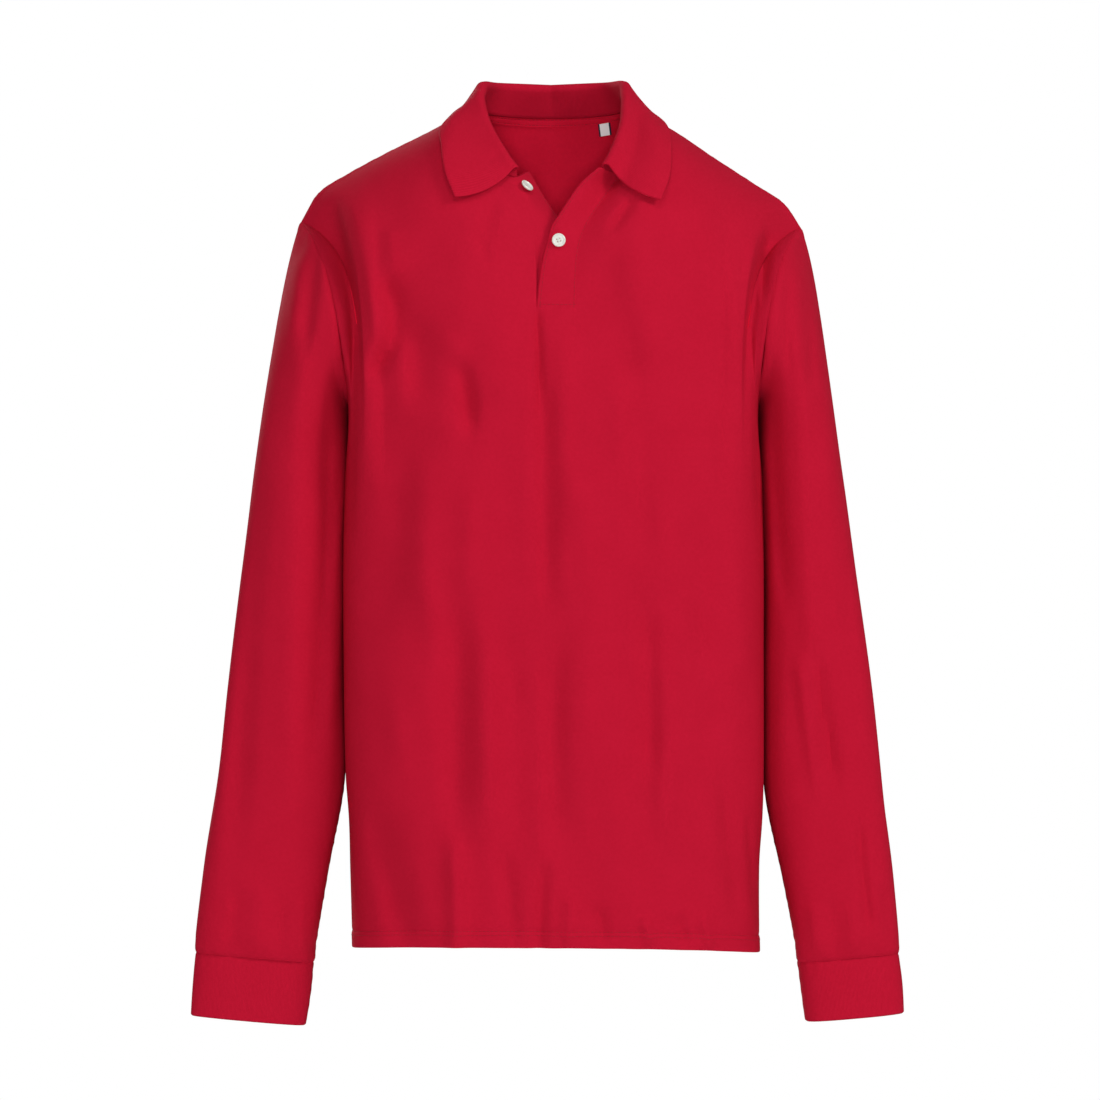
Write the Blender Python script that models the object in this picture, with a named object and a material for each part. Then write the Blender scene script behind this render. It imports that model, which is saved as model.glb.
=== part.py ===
"""Long-sleeve polo shirt, hollow and filled out as it is when worn. Metres.

+Z is up, the front faces -Y, and the wearer's left is at +X. The origin is the middle of the base of the
neck, level with the points where the shoulder seams meet the neckline: the wearer's shoulders carry the
shirt there. Every cloth piece is a thin closed wall, and neighbours stay a seam's gap apart.
"""

import math

import bmesh
import bpy
from mathutils import Matrix, Vector
from mathutils.bvhtree import BVHTree

RIGHT, LEFT = -1, 1  # the wearer's right lies at -X
FRONT, BACK = -1, 1  # the front lies at -Y

# ---------------------------------------------------------------- driving sizes

SHELL_WALL = 0.0012  # pique of the body and sleeves
DOUBLE_WALL = 0.0020  # collar, cuffs and placket strips, two layers of knit
TAPE_WALL = 0.0010
SEAM_GAP = 0.0003
LAYER_GAP = 0.0004  # between two pieces that lie on each other

NECK_HALF_WIDTH = 0.066
NECK_POINT_HEIGHT = 0.003  # where the shoulder seam meets the neckline
FRONT_NECK = Vector((0.0, -0.080, -0.058))  # middle of the closed neckline
BACK_NECK = Vector((0.0, 0.070, 0.001))
SHOULDER_SEAM_Y = 0.004

ARMPIT_HEIGHT = -0.255
ARMPIT_HALF_WIDTH = {RIGHT: 0.1715, LEFT: 0.1755}
ARMHOLE_PULL = 0.084  # how strongly the armhole bows forward and back
CHEST_LINE = -0.330  # rings below it are level, and above it columns climb to the shoulders

HEM_HEIGHT = {RIGHT: -0.7085, LEFT: -0.7125}  # at the side seams
HEM_RISE = {FRONT: 0.0085, BACK: 0.0}  # how much higher the hem is at the middle

SLEEVE_SEAM_HEIGHT = -0.7165  # where the sleeve is sewn to its cuff
CUFF_END_HEIGHT = {RIGHT: -0.7690, LEFT: -0.7660}
SLEEVE_TILT = math.radians(5.0)

PLACKET_BOTTOM = -0.1730
PLACKET_RIGHT_SEAM = -0.0125  # x where the button strip joins the front, below the opening
PLACKET_LEFT_SEAM = 0.0205  # x where the buttonhole strip joins it

BUTTON_RADIUS = 0.0057
BUTTON_THICKNESS = 0.0024
BUTTON_HOLE_RADIUS = 0.0008
BUTTON_HOLE_SPACING = 0.0021

STRIP_LAP = 0.0035  # how far the button strip runs in behind the front's edge
STRIP_BULGE = {RIGHT: 0.0015, LEFT: 0.0030}  # how far a strip's middle stands forward where it is open

ROUNDNESS = 0.80  # under 1, so that the torso's section is a little squarer than an ellipse

# Steps of the cloth grids.
NECK_STEPS = 6
SHOULDER_STEPS = 6
ARMHOLE_STEPS = 10
HALF_STEPS = NECK_STEPS + SHOULDER_STEPS + ARMHOLE_STEPS
TORSO_ROWS = 11
YOKE_ROWS = 13
SLOT_ROW = 5  # rows of the yoke that lie under the placket
CAP_ROWS = 7
SLEEVE_ROWS = 13


def table(columns, *rows):
    """A table with named columns. The first column says where each row is."""
    return {name: [row[i] for row in rows] for i, name in enumerate(columns.split())}


# The torso's sections, from hem to chest: half widths at each side, depths from the side seams, and how
# far the sleeves press the sides in.
TORSO = table(
    "height   right   left    front   back    dip",
    (-0.720, 0.1677, 0.1765, 0.1120, 0.1060, 0.0000),
    (-0.640, 0.1700, 0.1762, 0.1130, 0.1030, 0.0000),
    (-0.600, 0.1718, 0.1795, 0.1135, 0.1010, 0.0014),
    (-0.560, 0.1752, 0.1812, 0.1140, 0.0990, 0.0028),
    (-0.450, 0.1770, 0.1814, 0.1160, 0.0990, 0.0030),
    (-0.360, 0.1768, 0.1810, 0.1200, 0.1080, 0.0030),
    (-0.280, 0.1745, 0.1785, 0.1220, 0.1160, 0.0018),
)
SIDE_DIP_Y = -0.007  # where the dip in the sides is deepest
SIDE_DIP_WIDTH = 0.014

# The shoulder seams from the neck point to the armhole, as seen from the front.
SHOULDER = table(
    "share  right_x  right_z   left_x   left_z",
    (0.00, 0.0660, 0.0030, 0.0660, 0.0030),
    (0.25, 0.1020, -0.0165, 0.1020, -0.0152),
    (0.50, 0.1395, -0.0350, 0.1380, -0.0390),
    (0.75, 0.1755, -0.0545, 0.1760, -0.0635),
    (0.90, 0.1988, -0.0700, 0.1992, -0.0790),
    (1.00, 0.2128, -0.0940, 0.2125, -0.0990),
)

# How the shoulder's and armhole's edge leads into the body panel: a direction and how far it reaches.
EDGE_LEAD = table(
    "share  inward  outward_y  down   reach",
    (0.00, -0.40, 1.00, 0.25, 0.40),
    (0.25, -0.06, 1.00, 0.25, 0.40),
    (0.42, 0.30, 0.93, 0.18, 0.39),
    (0.50, 0.57, 0.77, 0.24, 0.42),
    (0.60, 0.66, 0.63, 0.41, 0.30),
    (0.70, 0.63, 0.46, 0.61, 0.245),
    (0.80, 0.46, 0.26, 0.85, 0.245),
    (0.90, 0.16, 0.08, 0.98, 0.28),
    (1.00, 0.00, 0.00, 1.00, 0.30),
)
CHEST_SWELL = 0.10  # how far forward and back the chest leans as it climbs past the armhole

CAP_OUT = {RIGHT: 0.85, LEFT: 0.85}  # how far each sleeve's head swells out

# The sleeves below the armhole, level by level: distances from the middle plane, and depths.
SLEEVE = {
    RIGHT: table(
        "height   outer   inner   front   back",
        (-0.300, 0.2503, 0.1742, 0.0700, 0.0660),
        (-0.400, 0.2639, 0.1748, 0.0650, 0.0520),
        (-0.492, 0.2754, 0.1748, 0.0600, 0.0400),
        (-0.568, 0.2839, 0.1762, 0.0540, 0.0290),
        (-0.645, 0.2938, 0.1892, 0.0490, 0.0190),
        (-0.700, 0.3004, 0.1986, 0.0460, 0.0130),
        (-0.7165, 0.3010, 0.2000, 0.0420, 0.0060),
    ),
    LEFT: table(
        "height   outer   inner   front   back",
        (-0.300, 0.2453, 0.1782, 0.0700, 0.0660),
        (-0.400, 0.2597, 0.1790, 0.0660, 0.0530),
        (-0.492, 0.2728, 0.1792, 0.0620, 0.0420),
        (-0.568, 0.2814, 0.1806, 0.0570, 0.0330),
        (-0.645, 0.2888, 0.1957, 0.0530, 0.0240),
        (-0.700, 0.2938, 0.2057, 0.0510, 0.0190),
        (-0.7165, 0.2944, 0.2076, 0.0470, 0.0130),
    ),
}

CUFF = {
    RIGHT: table(
        "share   outer   inner   front   back",
        (0.00, 0.3006, 0.2004, 0.0405, 0.0050),
        (0.50, 0.3022, 0.2032, 0.0400, 0.0030),
        (1.00, 0.3042, 0.2065, 0.0400, 0.0015),
    ),
    LEFT: table(
        "share   outer   inner   front   back",
        (0.00, 0.2936, 0.2082, 0.0460, 0.0120),
        (0.50, 0.2962, 0.2116, 0.0460, 0.0110),
        (1.00, 0.2979, 0.2141, 0.0465, 0.0100),
    ),
}

# Largest folds of the front, seen from the front: a line from top to bottom, its half width, and its depth.
FRONT_FOLDS = table(
    "top_x   top_z    low_x   low_z   width   depth",
    (-0.0125, -0.176, -0.004, -0.460, 0.0070, -0.0022),
    (-0.1360, -0.145, -0.155, -0.235, 0.0085, -0.0050),
    (-0.1100, -0.165, -0.122, -0.260, 0.0085, -0.0045),
    (-0.0800, -0.190, -0.072, -0.285, 0.0095, -0.0045),
    (-0.0740, -0.470, -0.074, -0.690, 0.0160, -0.0045),
    (-0.0060, -0.480, -0.004, -0.680, 0.0130, -0.0040),
    (0.0480, -0.440, 0.0560, -0.680, 0.0150, -0.0045),
    (0.1000, -0.420, 0.1040, -0.690, 0.0170, -0.0040),
)
BACK_FOLDS = table(
    "top_x   top_z    low_x   low_z   width   depth",
    (-0.0950, -0.300, -0.085, -0.690, 0.0220, -0.0060),
    (-0.0200, -0.340, -0.025, -0.690, 0.0200, -0.0050),
    (0.0520, -0.310, 0.0460, -0.690, 0.0220, -0.0060),
    (0.1120, -0.360, 0.1100, -0.690, 0.0180, -0.0050),
    (-0.1250, -0.120, -0.105, -0.260, 0.0140, -0.0040),
    (0.1250, -0.125, 0.1050, -0.265, 0.0140, -0.0040),
)
# Long troughs down the sleeves: the angle round from the outer side to the front, and heights.
SLEEVE_FOLDS = {
    RIGHT: table(
        "angle   top_z    low_z   width   depth",
        (52.0, -0.180, -0.640, 14.0, -0.0040),
        (118.0, -0.260, -0.600, 16.0, -0.0035),
        (235.0, -0.200, -0.560, 18.0, -0.0045),
        (300.0, -0.240, -0.660, 16.0, -0.0040),
    ),
    LEFT: table(
        "angle   top_z    low_z   width   depth",
        (48.0, -0.150, -0.460, 13.0, -0.0035),
        (84.0, -0.420, -0.680, 14.0, -0.0040),
        (238.0, -0.200, -0.560, 18.0, -0.0045),
        (305.0, -0.260, -0.660, 16.0, -0.0040),
    ),
}

# The collar: where its roll line and its free edge go, from the middle of the back (turn 0), past the
# neck point (turn 1) and the placket's seam (turn 2), to its end. Widths are from the middle plane.
COLLAR = {
    RIGHT: table(
        "turn   roll_x   roll_y   roll_z   edge_x   edge_y   edge_z",
        (0.00, 0.0000, 0.0600, 0.0260, 0.0000, 0.0960, -0.0230),
        (0.50, 0.0425, 0.0440, 0.0262, 0.0600, 0.0700, -0.0230),
        (1.00, 0.0568, 0.0060, 0.0235, 0.0765, 0.0020, -0.0060),
        (1.15, 0.0580, -0.0065, 0.0180, 0.0850, -0.0200, -0.0145),
        (1.30, 0.0585, -0.0200, 0.0100, 0.0920, -0.0420, -0.0207),
        (1.60, 0.0520, -0.0460, -0.0150, 0.0908, -0.0660, -0.0376),
        (2.00, 0.0370, -0.0725, -0.0430, 0.0878, -0.0860, -0.0589),
        (2.35, 0.0288, -0.0795, -0.0545, 0.0797, -0.0970, -0.0804),
    ),
    LEFT: table(
        "turn   roll_x   roll_y   roll_z   edge_x   edge_y   edge_z",
        (0.00, 0.0000, 0.0600, 0.0260, 0.0000, 0.0960, -0.0230),
        (0.50, 0.0440, 0.0440, 0.0265, 0.0610, 0.0700, -0.0230),
        (1.00, 0.0610, 0.0060, 0.0240, 0.0830, 0.0020, -0.0070),
        (1.15, 0.0617, -0.0080, 0.0170, 0.0940, -0.0200, -0.0142),
        (1.30, 0.0620, -0.0220, 0.0080, 0.0990, -0.0420, -0.0247),
        (1.60, 0.0600, -0.0480, -0.0130, 0.0998, -0.0660, -0.0455),
        (2.00, 0.0520, -0.0710, -0.0370, 0.0975, -0.0850, -0.0642),
        (2.35, 0.0445, -0.0860, -0.0525, 0.0908, -0.0940, -0.0827),
    ),
}
# Which way the leaf is held off the body, in degrees up from straight back to straight forward.
LEAF_SIDE = table(
    "turn  degrees",
    (0.00, 20.0),
    (0.50, 30.0),
    (0.80, 58.0),
    (1.00, 90.0),
    (1.15, 125.0),
    (1.30, 150.0),
    (1.60, 172.0),
    (2.35, 180.0),
)
COLLAR_END_TURN = 2.35
STRIP_TOP_SHARE = {RIGHT: 0.35, LEFT: 0.80}  # how far along its strip's top each end of the collar stops
COLLAR_ROLL_RADIUS = 0.0029
COLLAR_REST = 0.0040  # how far the leaf's outer face is held off the body
LEAF_DROP = 0.6  # how steeply the leaf falls from the roll, from 0 for straight to its edge to 1
FRONT_EDGE_BOW = 0.0055  # how far the leaf's front edge bows down between its end and its tip
STAND_LIFT = 0.0006  # between the neckline's edge and the collar's

TAPE_HEIGHT = 0.0080
LABEL = {"x": 0.0460, "top": -0.0045, "width": 0.0108, "height": 0.0116, "wall": 0.0010, "lean": 0.09}
BUTTONS = {"button_lower": (0.0063, -0.1167, LEFT), "button_upper": (-0.0213, -0.0710, RIGHT)}

# ---------------------------------------------------------------- small maths


def mix(a, b, share):
    return a + (b - a) * share


def ease(share):
    share = min(max(share, 0.0), 1.0)
    return share * share * (3 - 2 * share)


def read(tab, name, at):
    """The named column's value at a place, on a smooth curve through the rows."""
    places, values = next(iter(tab.values())), tab[name]
    last = len(places) - 1
    at = min(max(at, min(places)), max(places))
    rising = places[-1] > places[0]
    i = max(k for k in range(last) if k == 0 or (places[k] <= at) == rising or places[k] == at)

    def slope(k):
        low, high = max(k - 1, 0), min(k + 1, last)
        return (values[high] - values[low]) / (places[high] - places[low])

    span = places[i + 1] - places[i]
    t = (at - places[i]) / span
    start, end = values[i], values[i + 1]
    return (
        start * (1 + 2 * t) * (1 - t) ** 2
        + slope(i) * span * t * (1 - t) ** 2
        + end * t * t * (3 - 2 * t)
        + slope(i + 1) * span * t * t * (t - 1)
    )


def bezier(p0, p1, p2, p3, t):
    s = 1 - t
    return p0 * s**3 + p1 * 3 * s * s * t + p2 * 3 * s * t * t + p3 * t**3


def word(side):
    return "left" if side == LEFT else "right"


# ---------------------------------------------------------------- torso


def torso_ring(height, face, side, turn):
    """A point of the torso's level section: turn runs from 0 at the middle to 1 at the side seam."""
    angle = turn * math.pi / 2
    width = read(TORSO, word(side), height)
    depth = read(TORSO, "front" if face == FRONT else "back", height)
    y = face * depth * max(math.cos(angle), 0.0) ** ROUNDNESS
    dip = read(TORSO, "dip", height) * math.exp(-(((y - SIDE_DIP_Y) / SIDE_DIP_WIDTH) ** 2))
    return Vector((side * (width * math.sin(angle) ** ROUNDNESS - dip), y, height))


def first_turn(face, side):
    """The turn of a panel's first column: the middle of the back, or the placket's seam on the front."""
    if face == BACK:
        return 0.0
    seam = -PLACKET_RIGHT_SEAM if side == RIGHT else PLACKET_LEFT_SEAM
    return math.asin((seam / read(TORSO, word(side), CHEST_LINE)) ** (1 / ROUNDNESS)) * 2 / math.pi


def neckline(face, side, share):
    """The neckline from the middle of the body to the neck point, closed."""
    middle = FRONT_NECK if face == FRONT else BACK_NECK
    seam = 0.0
    if face == FRONT:
        seam = -PLACKET_RIGHT_SEAM if side == RIGHT else PLACKET_LEFT_SEAM
    angle = share * math.pi / 2
    return Vector(
        (
            side * mix(seam, NECK_HALF_WIDTH, math.sin(angle)),
            mix(SHOULDER_SEAM_Y, middle.y, math.cos(angle) ** 0.9),
            mix(NECK_POINT_HEIGHT, middle.z, math.cos(angle) ** 1.25),
        )
    )


def shoulder_seam(side, share):
    return Vector(
        (
            side * read(SHOULDER, word(side) + "_x", share),
            SHOULDER_SEAM_Y * (1 - share),
            read(SHOULDER, word(side) + "_z", share),
        )
    )


def armhole(face, side, share):
    """The armhole from the shoulder's tip, round the front or the back, to the armpit."""
    tip = shoulder_seam(side, 1.0)
    pit = Vector((side * ARMPIT_HALF_WIDTH[side], 0.0, ARMPIT_HEIGHT))
    from_tip = tip + Vector((-side * 0.034, face * ARMHOLE_PULL, -0.026))
    from_pit = pit + Vector((-side * 0.003, face * ARMHOLE_PULL, 0.004))
    return bezier(tip, from_tip, from_pit, pit, share)


def top_edge(face, side, step):
    """The panel's upper edge at a column, and the pull that leads from it down into the panel."""
    if step <= NECK_STEPS:
        share = step / NECK_STEPS
        point = neckline(face, side, share)
        lead = Vector((side * 0.40 * share, face * mix(0.42, 1.0, share), mix(-0.90, -0.25, share)))
        return point, lead.normalized() * mix(0.30, 0.40, share)
    if step <= NECK_STEPS + SHOULDER_STEPS:
        share = (step - NECK_STEPS) / SHOULDER_STEPS
        point = shoulder_seam(side, share)
        along = 0.5 * share
    else:
        share = (step - NECK_STEPS - SHOULDER_STEPS) / ARMHOLE_STEPS
        point = armhole(face, side, share)
        along = 0.5 + 0.5 * share
    lead = Vector(
        (
            -side * read(EDGE_LEAD, "inward", along),
            face * read(EDGE_LEAD, "outward_y", along),
            -read(EDGE_LEAD, "down", along),
        )
    )
    return point, lead.normalized() * read(EDGE_LEAD, "reach", along)


def column_turn(face, side, step):
    """Where a column crosses the chest line. The armhole's columns share the last third of the ring."""
    start = first_turn(face, side)
    neck_end, shoulder_end = 0.27, 0.66
    if step <= NECK_STEPS:
        return mix(start, neck_end, step / NECK_STEPS)
    if step <= NECK_STEPS + SHOULDER_STEPS:
        return mix(neck_end, shoulder_end, (step - NECK_STEPS) / SHOULDER_STEPS)
    return mix(shoulder_end, 1.0, (step - NECK_STEPS - SHOULDER_STEPS) / ARMHOLE_STEPS)


def body_form(face, side, step, rise):
    """The torso without folds: rise runs from 0 at the hem to 1 at the chest line and 2 at the upper edge."""
    turn = column_turn(face, side, step)
    if rise <= 1:
        middle = HEM_RISE[face] * math.cos(turn * math.pi / 2)
        level = mix(HEM_HEIGHT[RIGHT], HEM_HEIGHT[LEFT], 0.5 + 0.5 * side * math.sin(turn * math.pi / 2))
        return torso_ring(mix(level + middle, CHEST_LINE, rise), face, side, turn)
    chest = torso_ring(CHEST_LINE, face, side, turn)
    below = torso_ring(CHEST_LINE - 0.02, face, side, turn)
    point, lead = top_edge(face, side, step)
    length = (point - chest).length
    up = (chest - below).normalized() * length * 0.40
    up.y += face * length * CHEST_SWELL * math.sin(math.pi * max(2 * turn - 1, 0.0))
    return bezier(chest, chest + up, point + lead * length, point, rise - 1)


def fold_depth(folds, x, z):
    """How far a panel moves out or in at a place, from all the folds that cross it."""
    total = 0.0
    for top_x, top_z, low_x, low_z, width, depth in zip(*folds.values()):
        along = (top_z - z) / (top_z - low_z)
        across = (x - mix(top_x, low_x, along)) / width
        ends = ease(along / 0.25) * ease((1 - along) / 0.3)
        total += depth * ends * math.exp(-across * across)
    return total


def slot_rise():
    """The rise at which the front's middle reaches the bottom of the placket."""
    low, high = 1.0, 2.0
    for _ in range(40):
        middle = (low + high) / 2
        if body_form(FRONT, LEFT, 0, middle).z < PLACKET_BOTTOM:
            low = middle
        else:
            high = middle
    return low


SLOT_RISE = slot_rise()


def row_rises():
    """The rises of the grid's rows, with one row right at the bottom of the placket."""
    rises = [row / TORSO_ROWS for row in range(TORSO_ROWS)]
    rises += [mix(1.0, SLOT_RISE, row / SLOT_ROW) for row in range(SLOT_ROW)]
    above = YOKE_ROWS - SLOT_ROW
    return rises + [mix(SLOT_RISE, 2.0, row / above) for row in range(above + 1)]


RISES = row_rises()
FIRST_SLOT_ROW = TORSO_ROWS + SLOT_ROW

# The opening of the placket, as shares of the way from its bottom to the neckline: where the seam of each
# strip goes, and where its free edge goes. y and z are measured from the closed placket.
SEAM_OPENING = {
    RIGHT: table(
        "share   x       y       z",
        (0.00, -0.0125, 0.0000, 0.0000),
        (0.40, -0.0135, 0.0005, 0.0000),
        (0.70, -0.0170, 0.0010, 0.0000),
        (0.85, -0.0225, 0.0010, -0.0020),
        (1.00, -0.0310, 0.0010, -0.0040),
    ),
    LEFT: table(
        "share   x       y       z",
        (0.00, 0.0205, 0.0000, 0.0000),
        (0.40, 0.0235, 0.0000, 0.0000),
        (0.60, 0.0310, 0.0020, 0.0000),
        (0.80, 0.0450, 0.0060, 0.0000),
        (1.00, 0.0600, 0.0120, 0.0000),
    ),
}
EDGE_OPENING = {
    RIGHT: table(
        "share   x       y       z",
        (0.00, 0.0175, 0.0026, 0.0000),
        (0.35, 0.0145, 0.0045, 0.0000),
        (0.55, 0.0095, 0.0100, 0.0000),
        (0.65, 0.0058, 0.0140, 0.0000),
        (0.79, -0.0049, 0.0190, 0.0010),
        (0.89, -0.0117, 0.0205, 0.0020),
        (1.00, -0.0183, 0.0215, 0.0020),
    ),
    LEFT: table(
        "share   x       y       z",
        (0.00, -0.0115, -0.0006, 0.0000),
        (0.18, -0.0092, -0.0010, 0.0000),
        (0.33, -0.0066, -0.0014, 0.0000),
        (0.47, -0.0025, -0.0020, 0.0000),
        (0.58, 0.0010, -0.0026, 0.0000),
        (0.66, 0.0068, -0.0034, 0.0000),
        (0.78, 0.0155, -0.0045, 0.0000),
        (0.90, 0.0255, -0.0060, 0.0005),
        (1.00, 0.0400, -0.0080, 0.0020),
    ),
}


def opening_shift(side, step, rise):
    """How far the open neck moves a front point: all of it at the placket's seam, none at the neck point."""
    if rise <= SLOT_RISE or step >= NECK_STEPS:
        return Vector()
    share = (rise - SLOT_RISE) / (2 - SLOT_RISE)
    closed = -PLACKET_RIGHT_SEAM if side == RIGHT else PLACKET_LEFT_SEAM
    hold = 1 - math.sin(step / NECK_STEPS * math.pi / 2)
    tab = SEAM_OPENING[side]
    wanted = Vector((read(tab, "x", share) - side * closed, read(tab, "y", share), read(tab, "z", share)))
    return wanted * hold


def body_point(face, side, step, rise):
    """The torso's outer face before its seams are set, with folds and the open neck."""
    point = body_form(face, side, step, rise)
    folds = FRONT_FOLDS if face == FRONT else BACK_FOLDS
    point.y += face * fold_depth(folds, point.x, point.z) * ease((HALF_STEPS - step) / 4)
    if face == FRONT:
        point += opening_shift(side, step, rise)
    return point


def half_panel(face, side, rises):
    return [[body_point(face, side, step, rise) for step in range(HALF_STEPS + 1)] for rise in rises]


# ---------------------------------------------------------------- sleeves


def sleeve_ring(tab, side, at, angle, height, tilt):
    """A point of a sleeve's section. The angle runs from the outer side to the front and on round."""
    outer, inner = read(tab, "outer", at), read(tab, "inner", at)
    front, back = read(tab, "front", at), read(tab, "back", at)
    across = (outer - inner) / 2 * math.cos(angle)
    return Vector(
        (
            side * ((outer + inner) / 2 + across * math.cos(tilt)),
            (back - front) / 2 - (front + back) / 2 * math.sin(angle),
            height + across * math.sin(tilt),
        )
    )


def sleeve_tube(side, height, angle):
    tab = SLEEVE[side]
    top = tab["height"][0]
    tilt = SLEEVE_TILT * ease((top - height) / 0.2)
    return sleeve_ring(tab, side, height, angle, height, tilt)


# How the sleeve leaves the armhole, from the shoulder's tip round to the armpit: direction and reach.
CAP_LEAD = table(
    "share   out    forward  up     start   end",
    (0.00, 0.40, 0.00, -0.90, 0.045, 0.080),
    (0.25, 0.85, 0.15, -0.45, 0.030, 0.070),
    (0.50, 0.92, 0.12, -0.25, 0.022, 0.052),
    (0.75, 0.75, 0.05, 0.30, 0.014, 0.034),
    (1.00, 0.20, 0.00, 0.90, 0.007, 0.024),
)


def cap_point(face, side, share, t):
    """The sleeve's head between the armhole and its first full ring."""
    angle = math.pi * share if face == FRONT else -math.pi * share
    top = SLEEVE[side]["height"][0]
    start = armhole(face, side, share)
    end = sleeve_tube(side, top, angle)
    lead = Vector(
        (
            side * read(CAP_LEAD, "out", share) * CAP_OUT[side],
            face * read(CAP_LEAD, "forward", share),
            read(CAP_LEAD, "up", share),
        )
    ).normalized()
    down = (sleeve_tube(side, top - 0.02, angle) - end).normalized()
    first = start + lead * read(CAP_LEAD, "start", share)
    second = end - down * read(CAP_LEAD, "end", share)
    return bezier(start, first, second, end, t)


def sleeve_fold(side, angle, height):
    """How far the sleeve's wall moves in or out along its troughs."""
    total = 0.0
    turned = math.degrees(angle) % 360
    for at, top_z, low_z, width, depth in zip(*SLEEVE_FOLDS[side].values()):
        along = (top_z - height) / (top_z - low_z)
        across = (turned - at) / width
        total += depth * ease(along / 0.25) * ease((1 - along) / 0.25) * math.exp(-across * across)
    return total


def sleeve_point(side, corner, row):
    """Corner runs round the sleeve from the shoulder's tip by the front, and row from armhole to cuff."""
    face = FRONT if corner <= ARMHOLE_STEPS else BACK
    share = (corner if face == FRONT else 2 * ARMHOLE_STEPS - corner) / ARMHOLE_STEPS
    angle = math.pi * corner / ARMHOLE_STEPS
    if row <= CAP_ROWS:
        point = cap_point(face, side, share, row / CAP_ROWS)
    else:
        heights = SLEEVE[side]["height"]
        down = (row - CAP_ROWS) / SLEEVE_ROWS
        point = sleeve_tube(side, mix(heights[0], heights[-1], 1 - (1 - down) ** 1.25), angle)
    away = Vector((side * math.cos(angle), -math.sin(angle), 0.0))
    inner_side = ease((math.cos(angle) + 0.95) / 0.4)
    return point + away * sleeve_fold(side, angle, point.z) * inner_side


def cuff_point(side, corner, share):
    angle = math.pi * corner / ARMHOLE_STEPS
    height = mix(SLEEVE_SEAM_HEIGHT, CUFF_END_HEIGHT[side], share)
    return sleeve_ring(CUFF[side], side, share, angle, height, SLEEVE_TILT)


# ---------------------------------------------------------------- cloth walls


class Cloth:
    """One cut piece: points of its outer face, and faces that point outwards."""

    def __init__(self, name, wall, colour):
        self.name = name
        self.wall = wall
        self.colour = colour
        self.points = []
        self.faces = []
        self.index = {}

    def add_point(self, point):
        key = tuple(round(value, 6) for value in point)
        if key not in self.index:
            self.index[key] = len(self.points)
            self.points.append(point.copy())
        return self.index[key]

    def add_grid(self, rows, flip=False):
        """Adds a grid of points, row by row. Seen from outside its columns run to the right, unless flipped."""
        ids = [[self.add_point(point) for point in row] for row in rows]
        for low, high in zip(ids, ids[1:]):
            for k in range(len(low) - 1):
                face = [low[k], low[k + 1], high[k + 1], high[k]]
                face = [v for i, v in enumerate(face) if v != face[i - 1]]
                if len(face) > 2:
                    self.faces.append(face[::-1] if flip else face)
        return self


def face_normal(cloth, face):
    total = Vector()
    corners = [cloth.points[v] for v in face]
    for k in range(1, len(corners) - 1):
        total += (corners[k] - corners[0]).cross(corners[k + 1] - corners[0])
    return total


def sewn_normals(cloths):
    """Normals over pieces whose edges meet: pieces that share a seam get the same normal along it."""
    sums = {}
    for cloth in cloths:
        for face in cloth.faces:
            normal = face_normal(cloth, face)
            for v in face:
                key = tuple(round(value, 5) for value in cloth.points[v])
                sums[key] = sums.get(key, Vector()) + normal
    return {key: total.normalized() for key, total in sums.items()}


def border_edges(faces):
    """The directed edges that only one face has."""
    edges = {(face[k - 1], face[k]) for face in faces for k in range(len(face))}
    return [(a, b) for a, b in edges if (b, a) not in edges]


def link_mesh(name, points, faces, colour):
    mesh = bpy.data.meshes.new(name)
    mesh.from_pydata([tuple(point) for point in points], [], faces)
    mesh.update()
    mesh.shade_smooth()
    mesh.set_sharp_from_angle(angle=math.radians(50))
    mesh.materials.append(colour)
    obj = bpy.data.objects.new(name, mesh)
    SHIRT.objects.link(obj)
    return obj


def rim_shifts(cloth, normals, border):
    """For each point of the border, the step back from the seam that keeps each of its edges half a gap away."""
    backs = {}
    for a, b in border:
        edge = cloth.points[b] - cloth.points[a]
        for v in (a, b):
            normal = normals[tuple(round(value, 5) for value in cloth.points[v])]
            backs.setdefault(v, []).append(normal.cross(edge).normalized())
    return {v: sum(each, Vector()) / max(1 + each[0].dot(each[-1]), 0.4) for v, each in backs.items()}


def make_wall(cloth, normals, gap=SEAM_GAP):
    """Turns a piece into a closed wall: its border steps back half a seam's gap, and it thickens inwards."""
    border = border_edges(cloth.faces)
    shifts = rim_shifts(cloth, normals, border)
    outer, inner = [], []
    for v, point in enumerate(cloth.points):
        normal = normals[tuple(round(value, 5) for value in point)]
        point = point + shifts.get(v, Vector()) * gap * 0.55
        outer.append(point)
        inner.append(point - normal * cloth.wall)
    count = len(outer)
    faces = [list(face) for face in cloth.faces]
    faces += [[v + count for v in reversed(face)] for face in cloth.faces]
    faces += [[b, a, a + count, b + count] for a, b in border]
    return link_mesh(cloth.name, outer + inner, faces, cloth.colour)


# ---------------------------------------------------------------- scene and materials


def clear_scene():
    for obj in list(bpy.data.objects):
        bpy.data.objects.remove(obj)


def make_material(name, colour, roughness):
    material = bpy.data.materials.new(name)
    material.use_nodes = True
    shader = material.node_tree.nodes["Principled BSDF"]
    shader.inputs["Base Color"].default_value = (*colour, 1.0)
    shader.inputs["Roughness"].default_value = roughness
    shader.inputs["Metallic"].default_value = 0.0
    material.diffuse_color = (*colour, 1.0)
    return material


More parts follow.
